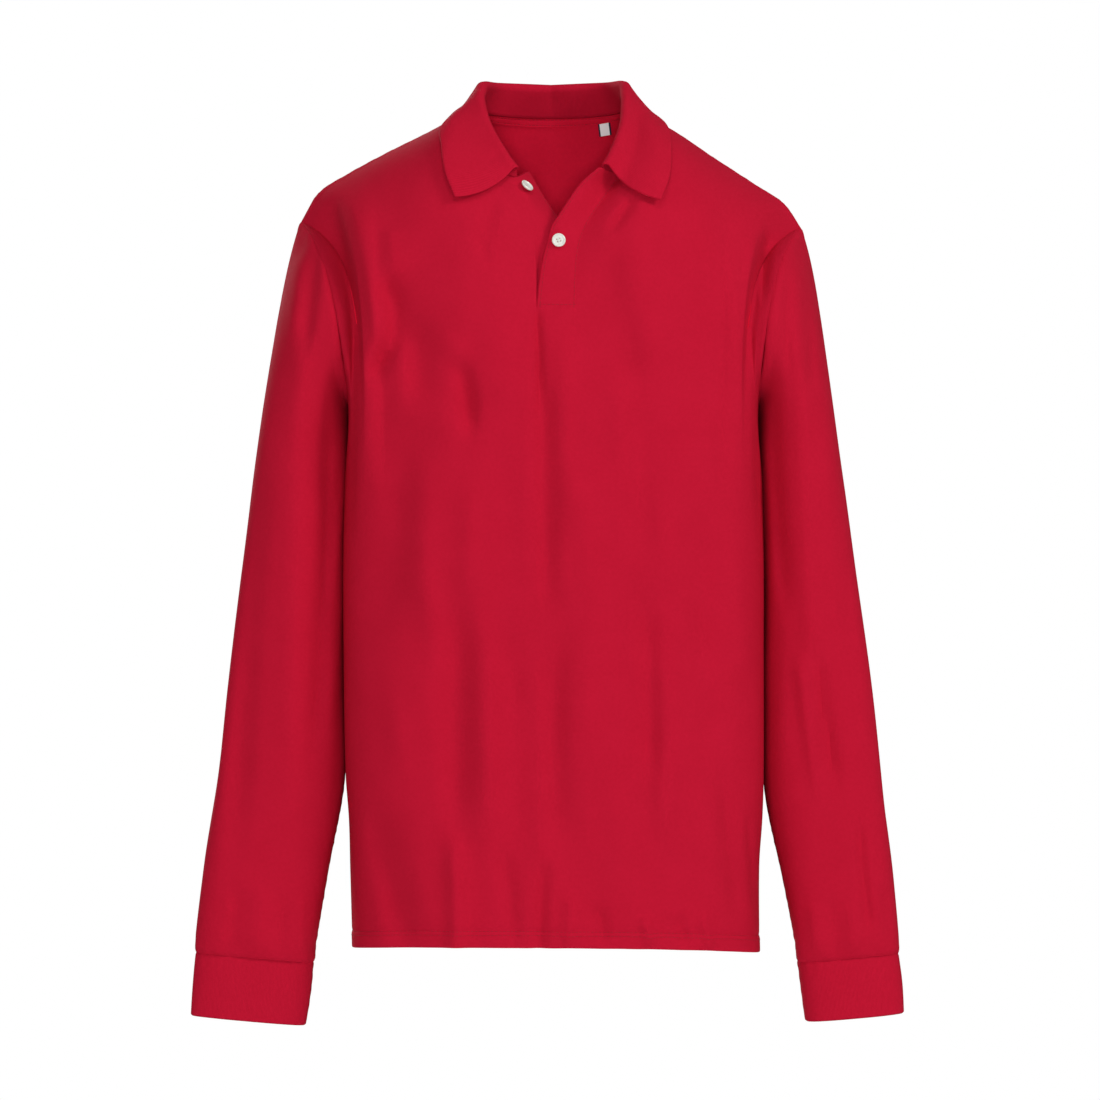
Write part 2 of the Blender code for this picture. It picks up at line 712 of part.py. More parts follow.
clear_scene()
SHIRT = bpy.data.collections.new("long_sleeve_polo_shirt")
CUTTERS = bpy.data.collections.new("cutters")
bpy.context.scene.collection.children.link(SHIRT)
bpy.context.scene.collection.children.link(CUTTERS)
RED_PIQUE = make_material("red_pique", (0.48, 0.006, 0.030), 0.85)
RED_RIB = make_material("red_rib_knit", (0.46, 0.005, 0.028), 0.88)
WHITE_BUTTON = make_material("white_button", (0.85, 0.86, 0.82), 0.3)
WHITE_LABEL = make_material("white_label", (0.82, 0.82, 0.82), 0.7)


# ---------------------------------------------------------------- pieces


def front_cloth():
    """The front, cut away between the two placket seams above the placket's bottom."""
    cloth = Cloth("front", SHELL_WALL, RED_PIQUE)
    right = half_panel(FRONT, RIGHT, RISES)
    left = half_panel(FRONT, LEFT, RISES)
    cloth.add_grid(right, flip=True)
    cloth.add_grid(left)
    middle = []
    for row in range(FIRST_SLOT_ROW + 1):
        a, b = right[row][0], left[row][0]
        halfway = (a + b) / 2
        halfway.y += fold_depth(FRONT_FOLDS, halfway.x, halfway.z) * -0.5
        middle.append([a, halfway, b])
    return cloth.add_grid(middle)


def back_cloth():
    cloth = Cloth("back", SHELL_WALL, RED_PIQUE)
    cloth.add_grid(half_panel(BACK, RIGHT, RISES))
    return cloth.add_grid(half_panel(BACK, LEFT, RISES), flip=True)


def sleeve_cloth(side):
    cloth = Cloth("sleeve_" + word(side), SHELL_WALL, RED_PIQUE)
    rows = []
    for row in range(CAP_ROWS + SLEEVE_ROWS + 1):
        ring = [sleeve_point(side, corner, row) for corner in range(2 * ARMHOLE_STEPS)]
        rows.append(ring + ring[:1])
    return cloth.add_grid(rows, flip=side == RIGHT)


def cuff_cloth(side, rows=3):
    cloth = Cloth("cuff_" + word(side), DOUBLE_WALL, RED_RIB)
    rings = []
    for row in range(rows + 1):
        ring = [cuff_point(side, corner, row / rows) for corner in range(2 * ARMHOLE_STEPS)]
        rings.append(ring + ring[:1])
    return cloth.add_grid(rings, flip=side == RIGHT)


def strip_rows(side, steps=4):
    """A placket strip's outer face, from its seam (or just under it) to its free edge, row by row."""
    rows = []
    above = [rise for rise in RISES if rise >= SLOT_RISE - 1e-9]
    for rise in above:
        share = (rise - SLOT_RISE) / (2 - SLOT_RISE)
        seam = body_point(FRONT, side, 0, rise)
        base = body_form(FRONT, LEFT, 0, rise)
        tab = EDGE_OPENING[side]
        edge = Vector((read(tab, "x", share), base.y + read(tab, "y", share), base.z + read(tab, "z", share)))
        if side == RIGHT:
            seam = seam + Vector((-STRIP_LAP, SHELL_WALL + LAYER_GAP + 0.0004, 0.0))
        bulge = Vector((0.0, -STRIP_BULGE[side] * ease(share / 0.5), 0.0))
        row = []
        for k in range(steps + 1):
            t = k / steps
            row.append(mix(seam, edge, t) + bulge * 4 * t * (1 - t))
        rows.append(row)
    return rows


def placket_cloth(side):
    """The buttonhole strip bridges the opening. The button strip lies behind it and behind the front's edge."""
    name = "placket_top" if side == LEFT else "placket_under"
    cloth = Cloth(name, DOUBLE_WALL, RED_RIB)
    return cloth.add_grid(strip_rows(side), flip=side == LEFT)


def collar_seam(side, turn):
    """The neckline's edge under the collar at a turn: the back, the front, and the top of the placket strip."""
    if turn <= 1:
        return neckline(BACK, side, turn)
    if turn <= 2:
        step = (2 - turn) * NECK_STEPS
        return neckline(FRONT, side, 2 - turn) + opening_shift(side, step, 2.0)
    top = strip_rows(side)[-1]
    at = STRIP_TOP_SHARE[side] * (len(top) - 1)
    k = min(int(at), len(top) - 2)
    corner = collar_seam(side, 2.0)
    return mix(corner, mix(top[k], top[k + 1], at - k), (turn - 2) / (COLLAR_END_TURN - 2))


def collar_mark(side, turn, what):
    tab = COLLAR[side]
    return Vector(
        (side * read(tab, what + "_x", turn), read(tab, what + "_y", turn), read(tab, what + "_z", turn))
    )


def lifted_off(point, turn, body):
    """The leaf's point, moved off the body where it lies closer than it should, the way the leaf faces."""
    angle = math.radians(read(LEAF_SIDE, "degrees", turn))
    way = Vector((0.0, math.cos(angle), math.sin(angle)))
    hit, normal, _, _ = body.ray_cast(point + way * 0.2, -way, 0.3)
    if hit is None:
        return point
    short = COLLAR_REST / max(abs(normal.dot(way)), 0.45) - (point - hit).dot(way)
    softness = 0.0015
    return point + way * 0.5 * (short + math.sqrt(short * short + softness * softness))


def collar_profile(side, turn, body):
    """One rib of the collar: up the stand from the neck seam, over the roll, and down the leaf."""
    seam = collar_seam(side, turn)
    roll, edge = collar_mark(side, turn, "roll"), collar_mark(side, turn, "edge")
    ahead = collar_mark(side, min(turn + 0.05, COLLAR_END_TURN), "roll")
    behind = collar_mark(side, max(turn - 0.05, 0.0), "roll")
    if turn < 0.05:
        behind = Vector((-ahead.x, ahead.y, ahead.z))
    along = (ahead - behind).normalized()
    to_seam = (seam - roll) - along * (seam - roll).dot(along)
    to_edge = (edge - roll) - along * (edge - roll).dot(along)
    lift = -(to_seam.normalized() + to_edge.normalized()).normalized()
    away = (to_edge.normalized() - to_seam.normalized()).normalized()
    radius = COLLAR_ROLL_RADIUS
    stand_top = roll - (lift + away) * radius
    leaf_top = roll - (lift - away) * radius
    over_strip = ease((turn - 1.83) * 6) if side == RIGHT else 0.0
    foot = seam - away * mix(DOUBLE_WALL + SEAM_GAP, 0.0, over_strip)
    foot += mix((stand_top - seam).normalized() * STAND_LIFT, Vector((0.0, 0.0, 0.0014)), over_strip)
    rib = [foot, mix(foot, stand_top, 0.5), stand_top]
    rib += [roll - lift * radius * 0.3 - away * radius * 0.72, roll]
    rib += [roll - lift * radius * 0.3 + away * radius * 0.72, leaf_top]
    bend = mix(mix(leaf_top, edge, 0.33), leaf_top - lift * (edge - leaf_top).length * 0.33, LEAF_DROP)
    before = mix(leaf_top, edge, 0.67)
    bow = FRONT_EDGE_BOW * ease((turn - 2) / (COLLAR_END_TURN - 2))
    for share in (0.25, 0.5, 0.75, 1.0):
        point = bezier(leaf_top, bend, before, edge, share)
        point.z -= bow * 4 * share * (1 - share)
        rib.append(lifted_off(point, turn, body))
    return rib


def collar_turns():
    """The turns of the ribs, one at each of the neckline's grid points, and two more over the strip."""
    turns = [step / NECK_STEPS for step in range(2 * NECK_STEPS + 1)]
    return turns + [mix(2.0, COLLAR_END_TURN, 0.5), COLLAR_END_TURN]


def collar_cloth(body):
    cloth = Cloth("collar", DOUBLE_WALL, RED_RIB)
    right = [collar_profile(RIGHT, turn, body) for turn in reversed(collar_turns())]
    left = [collar_profile(LEFT, turn, body) for turn in collar_turns()[1:]]
    return cloth.add_grid(right + left)


def inside_back(side, step, depth):
    """A point of the back panel's outer face at a distance below the neckline."""
    top = body_point(BACK, side, step, 2.0)
    below = body_point(BACK, side, step, RISES[-2])
    return top + (below - top).normalized() * depth


def tape_cloth(body):
    """The tape lies on the back's inner face, from one neck point to the other."""
    cloth = Cloth("neck_tape", TAPE_WALL, RED_RIB)
    rows = []
    for depth in (0.0008, TAPE_HEIGHT / 2, TAPE_HEIGHT):
        row = []
        for side, steps in ((RIGHT, range(NECK_STEPS, 0, -1)), (LEFT, range(NECK_STEPS + 1))):
            for step in steps:
                point = inside_back(side, step, depth)
                normal = body.find_nearest(point)[1]
                row.append(point - normal * (SHELL_WALL + 2 * LAYER_GAP))
        rows.append(row)
    return cloth.add_grid(rows)


def build_shell():
    """The panels, sleeves and buttonhole strip, with one set of normals along their seams, and the cuffs."""
    shell = [front_cloth(), back_cloth(), placket_cloth(LEFT)]
    shell += [sleeve_cloth(side) for side in (RIGHT, LEFT)]
    normals = sewn_normals(shell)
    for cloth in shell:
        make_wall(cloth, normals)
    for cloth in (cuff_cloth(RIGHT), cuff_cloth(LEFT)):
        make_wall(cloth, sewn_normals([cloth]))
    return {cloth.name: cloth for cloth in shell}


def outer_tree(cloths):
    """A search tree of the pieces' outer faces."""
    points, faces = [], []
    for cloth in cloths:
        start = len(points)
        points += cloth.points
        faces += [[v + start for v in face] for face in cloth.faces]
    return BVHTree.FromPolygons(points, faces)


def label_cloth():
    """The label hangs inside the back from the tape, and faces the front."""
    cloth = Cloth("size_label", LABEL["wall"], WHITE_LABEL)
    count = len(TAPE.points) // 3
    middle_row = sorted(TAPE.points[count : 2 * count], key=lambda point: abs(point.x - LABEL["x"]))
    here, one, other = middle_row[:3]
    slope = (one.y - other.y) / (other.x - one.x)
    middle = here.y + slope * (here.x - LABEL["x"])
    across = Vector((1.0, -slope, 0.0)).normalized()
    into = Vector((-slope, -1.0, 0.0)).normalized()
    rows = []
    for k in range(3):
        down = LABEL["height"] * k / 2
        centre = Vector((LABEL["x"], middle, LABEL["top"] - down))
        centre += into * (TAPE_WALL + LABEL["wall"] + 0.12 * down)
        lean = math.sin(LABEL["lean"]) * down
        row = [centre + across * (LABEL["width"] * (j / 3 - 0.5) - lean) for j in range(4)]
        rows.append(row)
    return cloth.add_grid(rows, flip=True)


def button(name):
    """A turned four-hole button on its strip. A cutter with four pins makes the holes."""
    x, z, side = BUTTONS[name]
    strip = outer_tree([PIECES["placket_under" if side == RIGHT else "placket_top"]])
    spot, normal, _, _ = strip.ray_cast(Vector((x, -0.3, z)), Vector((0.0, 1.0, 0.0)))
    radius, high = BUTTON_RADIUS, BUTTON_THICKNESS
    profile = (
        (0.0, 0.0),
        (radius * 0.80, 0.0),
        (radius * 0.97, high * 0.30),
        (radius, high * 0.62),
        (radius * 0.93, high),
        (radius * 0.74, high * 0.98),
        (radius * 0.66, high * 0.72),
        (0.0, high * 0.66),
    )
    mesh = bpy.data.meshes.new(name)
    bm = bmesh.new()
    ends = [bm.verts.new((r, 0.0, h)) for r, h in profile]
    edges = [bm.edges.new(pair) for pair in zip(ends, ends[1:])]
    bmesh.ops.spin(
        bm, geom=ends + edges, axis=(0, 0, 1), cent=(0, 0, 0), angle=2 * math.pi, steps=20, use_merge=True
    )
    bmesh.ops.remove_doubles(bm, verts=bm.verts, dist=1e-6)
    bmesh.ops.recalc_face_normals(bm, faces=bm.faces)
    bm.to_mesh(mesh)
    bm.free()
    mesh.shade_smooth()
    mesh.set_sharp_from_angle(angle=math.radians(40))
    mesh.materials.append(WHITE_BUTTON)
    obj = bpy.data.objects.new(name, mesh)
    SHIRT.objects.link(obj)
    place = Matrix.Translation(spot + normal * LAYER_GAP) @ normal.to_track_quat("Z", "Y").to_matrix().to_4x4()
    obj.matrix_world = place

    pins = bmesh.new()
    for k in range(4):
        turn = math.pi / 4 + k * math.pi / 2
        offset = Vector((math.cos(turn), math.sin(turn), 0.0)) * BUTTON_HOLE_SPACING / math.sqrt(2)
        spot_matrix = Matrix.Translation(offset + Vector((0.0, 0.0, high / 2)))
        bmesh.ops.create_cone(
            pins,
            cap_ends=True,
            segments=8,
            radius1=BUTTON_HOLE_RADIUS,
            radius2=BUTTON_HOLE_RADIUS,
            depth=high * 3,
            matrix=spot_matrix,
        )
    pin_mesh = bpy.data.meshes.new(name + "_pins")
    pins.to_mesh(pin_mesh)
    pins.free()
    cutter = bpy.data.objects.new(name + "_pins", pin_mesh)
    cutter.hide_render = True
    cutter.matrix_world = place
    CUTTERS.objects.link(cutter)
    holes = obj.modifiers.new("Holes", "BOOLEAN")
    holes.operation = "DIFFERENCE"
    holes.solver = "EXACT"
    holes.object = cutter
    return obj


def build_alone(cloth, gap=SEAM_GAP):
    make_wall(cloth, sewn_normals([cloth]), gap)
    return cloth


PIECES = build_shell()
PIECES["placket_under"] = build_alone(placket_cloth(RIGHT))
BODY = outer_tree([PIECES[name] for name in ("front", "back", "placket_top", "placket_under")])
build_alone(collar_cloth(BODY), gap=0.0)
TAPE = build_alone(tape_cloth(BODY))
build_alone(label_cloth())
for NAME in BUTTONS:
    button(NAME)
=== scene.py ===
# %% [markdown]
# # A long-sleeve polo shirt in red pique
#
# This lesson dresses the plain solids of a polo shirt. The solids already have its sizes, and here each of
# them gets a thin sewn shell with finer folds, seams, stitches and knit. The shirt is hollow and filled out,
# as if it were worn, and nobody is in it.
#
# We first load the frame, which is the shirt's solids, and keep the box around them, so that we can check at
# the end that the finished shirt still has the same size.

import math

import bmesh
import bpy
import numpy as np
from mathutils import Matrix, Vector
from mathutils.bvhtree import BVHTree


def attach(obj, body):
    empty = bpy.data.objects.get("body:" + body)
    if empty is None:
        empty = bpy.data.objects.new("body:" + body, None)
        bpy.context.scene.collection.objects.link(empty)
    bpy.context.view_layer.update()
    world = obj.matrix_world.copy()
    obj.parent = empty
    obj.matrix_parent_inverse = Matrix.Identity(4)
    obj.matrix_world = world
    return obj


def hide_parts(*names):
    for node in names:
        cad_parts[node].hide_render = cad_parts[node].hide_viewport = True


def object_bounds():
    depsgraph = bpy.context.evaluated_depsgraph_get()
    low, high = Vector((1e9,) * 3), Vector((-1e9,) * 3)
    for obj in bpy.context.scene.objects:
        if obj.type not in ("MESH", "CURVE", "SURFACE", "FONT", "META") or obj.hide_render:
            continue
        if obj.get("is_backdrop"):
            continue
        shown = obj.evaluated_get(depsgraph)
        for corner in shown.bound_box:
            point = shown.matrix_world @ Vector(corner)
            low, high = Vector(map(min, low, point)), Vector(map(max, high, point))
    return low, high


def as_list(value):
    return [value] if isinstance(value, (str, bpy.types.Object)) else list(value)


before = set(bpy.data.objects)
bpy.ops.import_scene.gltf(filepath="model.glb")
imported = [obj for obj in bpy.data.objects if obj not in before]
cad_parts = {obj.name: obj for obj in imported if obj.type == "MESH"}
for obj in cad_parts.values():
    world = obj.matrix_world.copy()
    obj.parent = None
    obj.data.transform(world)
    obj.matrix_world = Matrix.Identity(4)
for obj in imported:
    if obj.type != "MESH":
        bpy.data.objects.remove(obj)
CAD_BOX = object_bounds()
print("nodes:", ", ".join(sorted(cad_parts)))

# %% [markdown]
# ## Camera
#
# The picture looks straight at the chest from about four metres. We give the camera that distance and work
# out its lens from the width of the view, so that the perspective is as weak as it is in the picture. There
# is no shift and no depth of field.

# %% Camera
VIEW_CENTRE = Vector((-0.0009, 0.0, -0.373))
VIEW_DISTANCE = 4.0
VIEW_WIDTH = 0.935
SENSOR = 36.0

camera_data = bpy.data.cameras.new("camera")
camera_data.sensor_width = SENSOR
camera_data.lens = SENSOR * VIEW_DISTANCE / VIEW_WIDTH
camera = bpy.data.objects.new("camera", camera_data)
camera.location = VIEW_CENTRE - Vector((0.0, VIEW_DISTANCE, 0.0))
camera.rotation_euler = (math.pi / 2, 0.0, 0.0)
bpy.context.scene.collection.objects.link(camera)
bpy.context.scene.camera = camera
print("lens", round(camera_data.lens, 1), "mm")

# %% [markdown]
# ## Light and floor
#
# The picture has soft studio light. The key lamp stands high on the right and models the folds. A weak lamp
# on the left and one above open its shadows, and a fill beside the camera reaches down into the open neck.
# The last lamp stands behind the shirt, for the other views. A dim white world fills what is left, and the
# camera sees it as plain white. The shirt hangs in the air over a pale floor, which other views show.

# %% White world
WORLD_LIGHT = 0.28
WHITE = (1.0, 1.0, 1.0, 1.0)

world = bpy.data.worlds.new("white_studio")
world.use_nodes = True
room = world.node_tree.nodes["Background"]
room.inputs["Strength"].default_value = WORLD_LIGHT
backdrop = world.node_tree.nodes.new("ShaderNodeBackground")
backdrop.inputs["Color"].default_value = room.inputs["Color"].default_value = WHITE
by_ray = world.node_tree.nodes.new("ShaderNodeMixShader")
rays = world.node_tree.nodes.new("ShaderNodeLightPath")
world.node_tree.links.new(rays.outputs["Is Camera Ray"], by_ray.inputs[0])
world.node_tree.links.new(room.outputs[0], by_ray.inputs[1])
world.node_tree.links.new(backdrop.outputs[0], by_ray.inputs[2])
world.node_tree.links.new(by_ray.outputs[0], world.node_tree.nodes["World Output"].inputs[0])
bpy.context.scene.world = world
bpy.context.scene.view_settings.view_transform = "Standard"
print("the world shines with", WORLD_LIGHT)

# %% Lamps
LAMPS = (  # name, place, the spot it points at, size, watts
    ("key", (2.6, -1.9, 1.7), (0.0, 0.0, -0.28), 1.0, 47.0),
    ("left", (-2.6, -2.0, 1.0), (0.0, 0.0, -0.30), 1.4, 6.0),
    ("top", (0.0, -1.9, 2.6), (0.0, 0.0, -0.10), 1.2, 18.0),
    ("fill", (0.0, -3.9, -0.37), (0.0, 0.0, -0.35), 0.5, 48.0),
    ("back", (-1.2, 2.8, 0.8), (0.0, 0.0, -0.35), 1.6, 55.0),
)

for lamp_name, lamp_place, lamp_target, lamp_size, lamp_watts in LAMPS:
    lamp_data = bpy.data.lights.new(lamp_name, "AREA")
    lamp_data.shape, lamp_data.size, lamp_data.energy = "DISK", lamp_size, lamp_watts
    lamp = bpy.data.objects.new(lamp_name, lamp_data)
    lamp.location = lamp_place
    lamp.rotation_euler = (Vector(lamp_target) - lamp.location).to_track_quat("-Z", "Y").to_euler()
    bpy.context.scene.collection.objects.link(lamp)
print("lamps:", ", ".join(row[0] for row in LAMPS))

# %% Floor
FLOOR_HEIGHT, FLOOR_RADIUS, FLOOR_SIDES = -1.45, 3.2, 96

floor_mesh = bpy.data.meshes.new("floor")
floor_shape = bmesh.new()
bmesh.ops.create_circle(floor_shape, cap_ends=True, segments=FLOOR_SIDES, radius=FLOOR_RADIUS)
floor_shape.to_mesh(floor_mesh)
floor_shape.free()
floor = bpy.data.objects.new("floor", floor_mesh)
floor.location.z = FLOOR_HEIGHT
bpy.context.scene.collection.objects.link(floor)
floor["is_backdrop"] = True
print("the floor lies", -FLOOR_HEIGHT, "m below the neck")

# %% [markdown]
# ## Small maths
#
# Cloth is easiest to describe as a surface that is a formula: given how far round and how far up the shirt
# we are, it tells the point in space. The formulas below take whole arrays, so that a panel with tens of
# thousands of points is made at once.

# %% Small maths
RIGHT, LEFT = -1, 1  # the wearer's right lies at -X
FRONT, BACK = -1, 1  # the front lies at -Y
MM = 0.001


def table(columns, *rows):
    """A table with named columns. The first column says where each row is."""
    return {name: np.array([row[i] for row in rows], float) for i, name in enumerate(columns.split())}


def mix(a, b, share):
    return a + (b - a) * share


def ease(share):
    """Runs smoothly from 0 to 1 as the share does, and stays at 0 and 1 outside."""
    share = np.clip(share, 0.0, 1.0)
    return share * share * (3 - 2 * share)


def vec(x, y, z):
    return np.stack(np.broadcast_arrays(x, y, z), axis=-1).astype(float)


def unit(v):
    return v / np.maximum(np.linalg.norm(v, axis=-1, keepdims=True), 1e-12)


def bezier(p0, p1, p2, p3, t):
    t = np.asarray(t)[..., None]
    s = 1 - t
    return p0 * s**3 + p1 * 3 * s * s * t + p2 * 3 * s * t * t + p3 * t**3


def read(tab, name, at):
    """The named column's value at a place, on a smooth curve through the rows."""
    places, values = next(iter(tab.values())), tab[name]
    if places[0] > places[-1]:
        places, values = places[::-1], values[::-1]
    last = len(places) - 1
    low, high = np.maximum(np.arange(last + 1) - 1, 0), np.minimum(np.arange(last + 1) + 1, last)
    slopes = (values[high] - values[low]) / (places[high] - places[low])
    at = np.clip(at, places[0], places[-1])
    i = np.clip(np.searchsorted(places, at, side="right") - 1, 0, last - 1)
    span = places[i + 1] - places[i]
    t = (at - places[i]) / span
    start, end = values[i], values[i + 1]
    return (
        start * (1 + 2 * t) * (1 - t) ** 2
        + slopes[i] * span * t * (1 - t) ** 2
        + end * t * t * (3 - 2 * t)
        + slopes[i + 1] * span * t * t * (t - 1)
    )


def word(side):
    return "left" if side == LEFT else "right"


print("half of the way, eased:", ease(0.5))

# %% [markdown]
# ## The body's form
#
# A polo's body is a front and a back, joined at the side seams and shoulders, with an armhole on each side.
# Level rings with half widths and depths describe it from the hem to the chest. Above the chest each column
# climbs on one smooth curve to the neckline, the shoulder seam or the armhole. The outline is the solids'
# own. The rounding presses the shells up to a centimetre flatter than the solids at the front, as soft cloth
# hangs, so that the body and the sleeves meet more closely.

# %% Sizes of the body
NECK_HALF_WIDTH = 0.066
NECK_POINT_HEIGHT = 0.003
FRONT_NECK = (0.0, -0.080, -0.058)
BACK_NECK = (0.0, 0.070, 0.001)
SHOULDER_SEAM_Y = 0.004
ARMPIT_HEIGHT = -0.255
ARMPIT_HALF_WIDTH = {RIGHT: 0.1715, LEFT: 0.1755}
ARMHOLE_PULL, FRONT_ARMHOLE_PULL, FRONT_ARMPIT_PULL = 0.084, 0.094, 0.135
TIP_PULL_IN, TIP_PULL_DOWN = 0.034, 0.026
ARMPIT_PULL_IN, ARMPIT_PULL_UP = 0.003, 0.004
CHEST_LINE = -0.330
CHEST_SWELL = 0.10
CHEST_LEAD = 0.40  # how far a column runs straight on above the chest line, as a share of its length
CHEST_SLOPE_STEP = 0.02
HEM_HEIGHT = {RIGHT: -0.7085, LEFT: -0.7125}
HEM_RISE = {FRONT: 0.0085, BACK: 0.0}
PLACKET_BOTTOM = -0.1730
PLACKET_RIGHT_SEAM = -0.0125
PLACKET_LEFT_SEAM = 0.0205
ROUNDNESS = 0.68
DEPTH_ROUNDNESS = {FRONT: 0.56, BACK: 0.74}
SLEEVE_ROUNDNESS = 0.70
SLEEVE_DEPTH_ROUNDNESS = {FRONT: 0.55, BACK: 0.80}
NECK_FALL_POWERS = (0.9, 1.25)
NECK_STEPS, SHOULDER_STEPS, ARMHOLE_STEPS = 6, 6, 10
TIP_STEP = NECK_STEPS + SHOULDER_STEPS
HALF_STEPS = TIP_STEP + ARMHOLE_STEPS
NECK_POINT_TURN, TIP_TURN = 0.27, 0.66
# How columns leave the neck's middle and the neck point: inward, outward in y, up, and how far.
NECK_LEAD = ((0.0, 0.42, -0.90, 0.30), (-0.40, 1.0, -0.25, 0.40))
SLOT_SEARCH_ROUNDS = 40

TORSO = table(
    "height   right   left    front   back    dip",
    (-0.720, 0.1677, 0.1765, 0.1120, 0.1060, 0.0000),
    (-0.640, 0.1700, 0.1762, 0.1130, 0.1030, 0.0000),
    (-0.600, 0.1718, 0.1795, 0.1135, 0.1010, 0.0014),
    (-0.560, 0.1752, 0.1812, 0.1140, 0.0990, 0.0028),
    (-0.450, 0.1770, 0.1814, 0.1160, 0.0990, 0.0030),
    (-0.360, 0.1768, 0.1810, 0.1200, 0.1080, 0.0030),
    (-0.280, 0.1745, 0.1785, 0.1220, 0.1160, 0.0018),
)
SIDE_DIP_Y, SIDE_DIP_WIDTH = -0.006, 0.030
SHOULDER = table(
    "share  right_x  right_z   left_x   left_z",
    (0.00, 0.0660, 0.0030, 0.0660, 0.0030),
    (0.25, 0.1020, -0.0165, 0.1020, -0.0152),
    (0.50, 0.1395, -0.0350, 0.1380, -0.0390),
    (0.75, 0.1755, -0.0545, 0.1760, -0.0635),
    (0.90, 0.1988, -0.0700, 0.1992, -0.0790),
    (1.00, 0.2128, -0.0940, 0.2125, -0.0990),
)
EDGE_LEAD = table(
    "share  inward  outward_y  down   reach",
    (0.00, -0.40, 1.00, 0.25, 0.40),
    (0.25, -0.06, 1.00, 0.25, 0.40),
    (0.42, 0.30, 0.93, 0.18, 0.39),
    (0.50, 0.57, 0.77, 0.24, 0.42),
    (0.60, 0.66, 0.63, 0.41, 0.30),
    (0.70, 0.63, 0.46, 0.61, 0.245),
    (0.80, 0.46, 0.26, 0.85, 0.245),
    (0.90, 0.16, 0.08, 0.98, 0.28),
    (1.00, 0.00, 0.00, 1.00, 0.30),
)

print("the chest is", round(2 * float(TORSO["right"].max()) / MM), "mm across without its sleeves")


# %% The level sections
def torso_ring(height, face, side, turn):
    """A point of the level section: turn runs from 0 at the middle to 1 at the side seam."""
    angle = turn * math.pi / 2
    width = read(TORSO, word(side), height)
    depth = read(TORSO, "front" if face == FRONT else "back", height)
    round_x = np.maximum(np.sin(angle), 0.0) ** ROUNDNESS
    round_y = np.maximum(np.cos(angle), 0.0) ** DEPTH_ROUNDNESS[face]
    y = face * depth * round_y
    dip = read(TORSO, "dip", height) * np.exp(-(((y - SIDE_DIP_Y) / SIDE_DIP_WIDTH) ** 2))
    return vec(side * (width * round_x - dip), y, height)


def closed_seam(side):
    return -PLACKET_RIGHT_SEAM if side == RIGHT else PLACKET_LEFT_SEAM


def first_turn(face, side):
    """The turn of a panel's first column: the middle of the back, or the placket's seam on the front."""
    if face == BACK:
        return 0.0
    share = closed_seam(side) / float(read(TORSO, word(side), CHEST_LINE))
    return math.asin(share ** (1 / ROUNDNESS)) * 2 / math.pi


print("the front's first column lies at turn", round(first_turn(FRONT, LEFT), 3))


# %% The edges of a panel
def neckline(face, side, share):
    middle = FRONT_NECK if face == FRONT else BACK_NECK
    seam = closed_seam(side) if face == FRONT else 0.0
    angle = np.asarray(share) * math.pi / 2
    fall = np.maximum(np.cos(angle), 0.0)
    return vec(
        side * mix(seam, NECK_HALF_WIDTH, np.sin(angle)),
        mix(SHOULDER_SEAM_Y, middle[1], fall ** NECK_FALL_POWERS[0]),
        mix(NECK_POINT_HEIGHT, middle[2], fall ** NECK_FALL_POWERS[1]),
    )


def shoulder_seam(side, share):
    return vec(
        side * read(SHOULDER, word(side) + "_x", share),
        SHOULDER_SEAM_Y * (1 - np.asarray(share)),
        read(SHOULDER, word(side) + "_z", share),
    )


def armhole(face, side, share):
    """The armhole from the shoulder's tip to the armpit. The face may be an array too."""
    face = np.asarray(face, float)
    tip = shoulder_seam(side, 1.0)
    pit = np.array((side * ARMPIT_HALF_WIDTH[side], 0.0, ARMPIT_HEIGHT))
    in_front = face == FRONT
    tip_pull = np.where(in_front, -FRONT_ARMHOLE_PULL, face * ARMHOLE_PULL)
    pit_pull = np.where(in_front, -FRONT_ARMPIT_PULL, face * ARMHOLE_PULL)
    from_tip = tip + vec(-side * TIP_PULL_IN, tip_pull, -TIP_PULL_DOWN)
    from_pit = pit + vec(-side * ARMPIT_PULL_IN, pit_pull, ARMPIT_PULL_UP)
    return bezier(tip, from_tip, from_pit, pit, share)


def top_edge(face, side, step):
    """The panel's upper edge at each column, and the pull that leads from it down into the panel."""
    neck = np.clip(step / NECK_STEPS, 0, 1)
    inward, outward, up, reach = (mix(middle, end, neck) for middle, end in zip(*NECK_LEAD))
    neck_lead = unit(vec(-side * inward, face * outward, up)) * reach[..., None]
    across = np.clip((step - NECK_STEPS) / SHOULDER_STEPS, 0, 1)
    round_arm = np.clip((step - TIP_STEP) / ARMHOLE_STEPS, 0, 1)
    along = (across + round_arm) / 2
    lead = vec(
        -side * read(EDGE_LEAD, "inward", along),
        face * read(EDGE_LEAD, "outward_y", along),
        -read(EDGE_LEAD, "down", along),
    )
    lead = unit(lead) * read(EDGE_LEAD, "reach", along)[..., None]
    on_neck = (step <= NECK_STEPS)[..., None]
    on_shoulder = (step <= TIP_STEP)[..., None]
    point = np.where(on_shoulder, shoulder_seam(side, across), armhole(face, side, round_arm))
    point = np.where(on_neck, neckline(face, side, neck), point)
    return point, np.where(on_neck, neck_lead, lead)


print("the armhole ends at", armhole(FRONT, LEFT, 1.0).round(3))


# %% A panel without folds
def column_turn(face, side, step):
    """How far round the body a column comes down."""
    first, neck, tip = (0, first_turn(face, side)), (NECK_STEPS, NECK_POINT_TURN), (TIP_STEP, TIP_TURN)
    return read(table("step  turn", first, neck, tip, (HALF_STEPS, 1.0)), "turn", step)


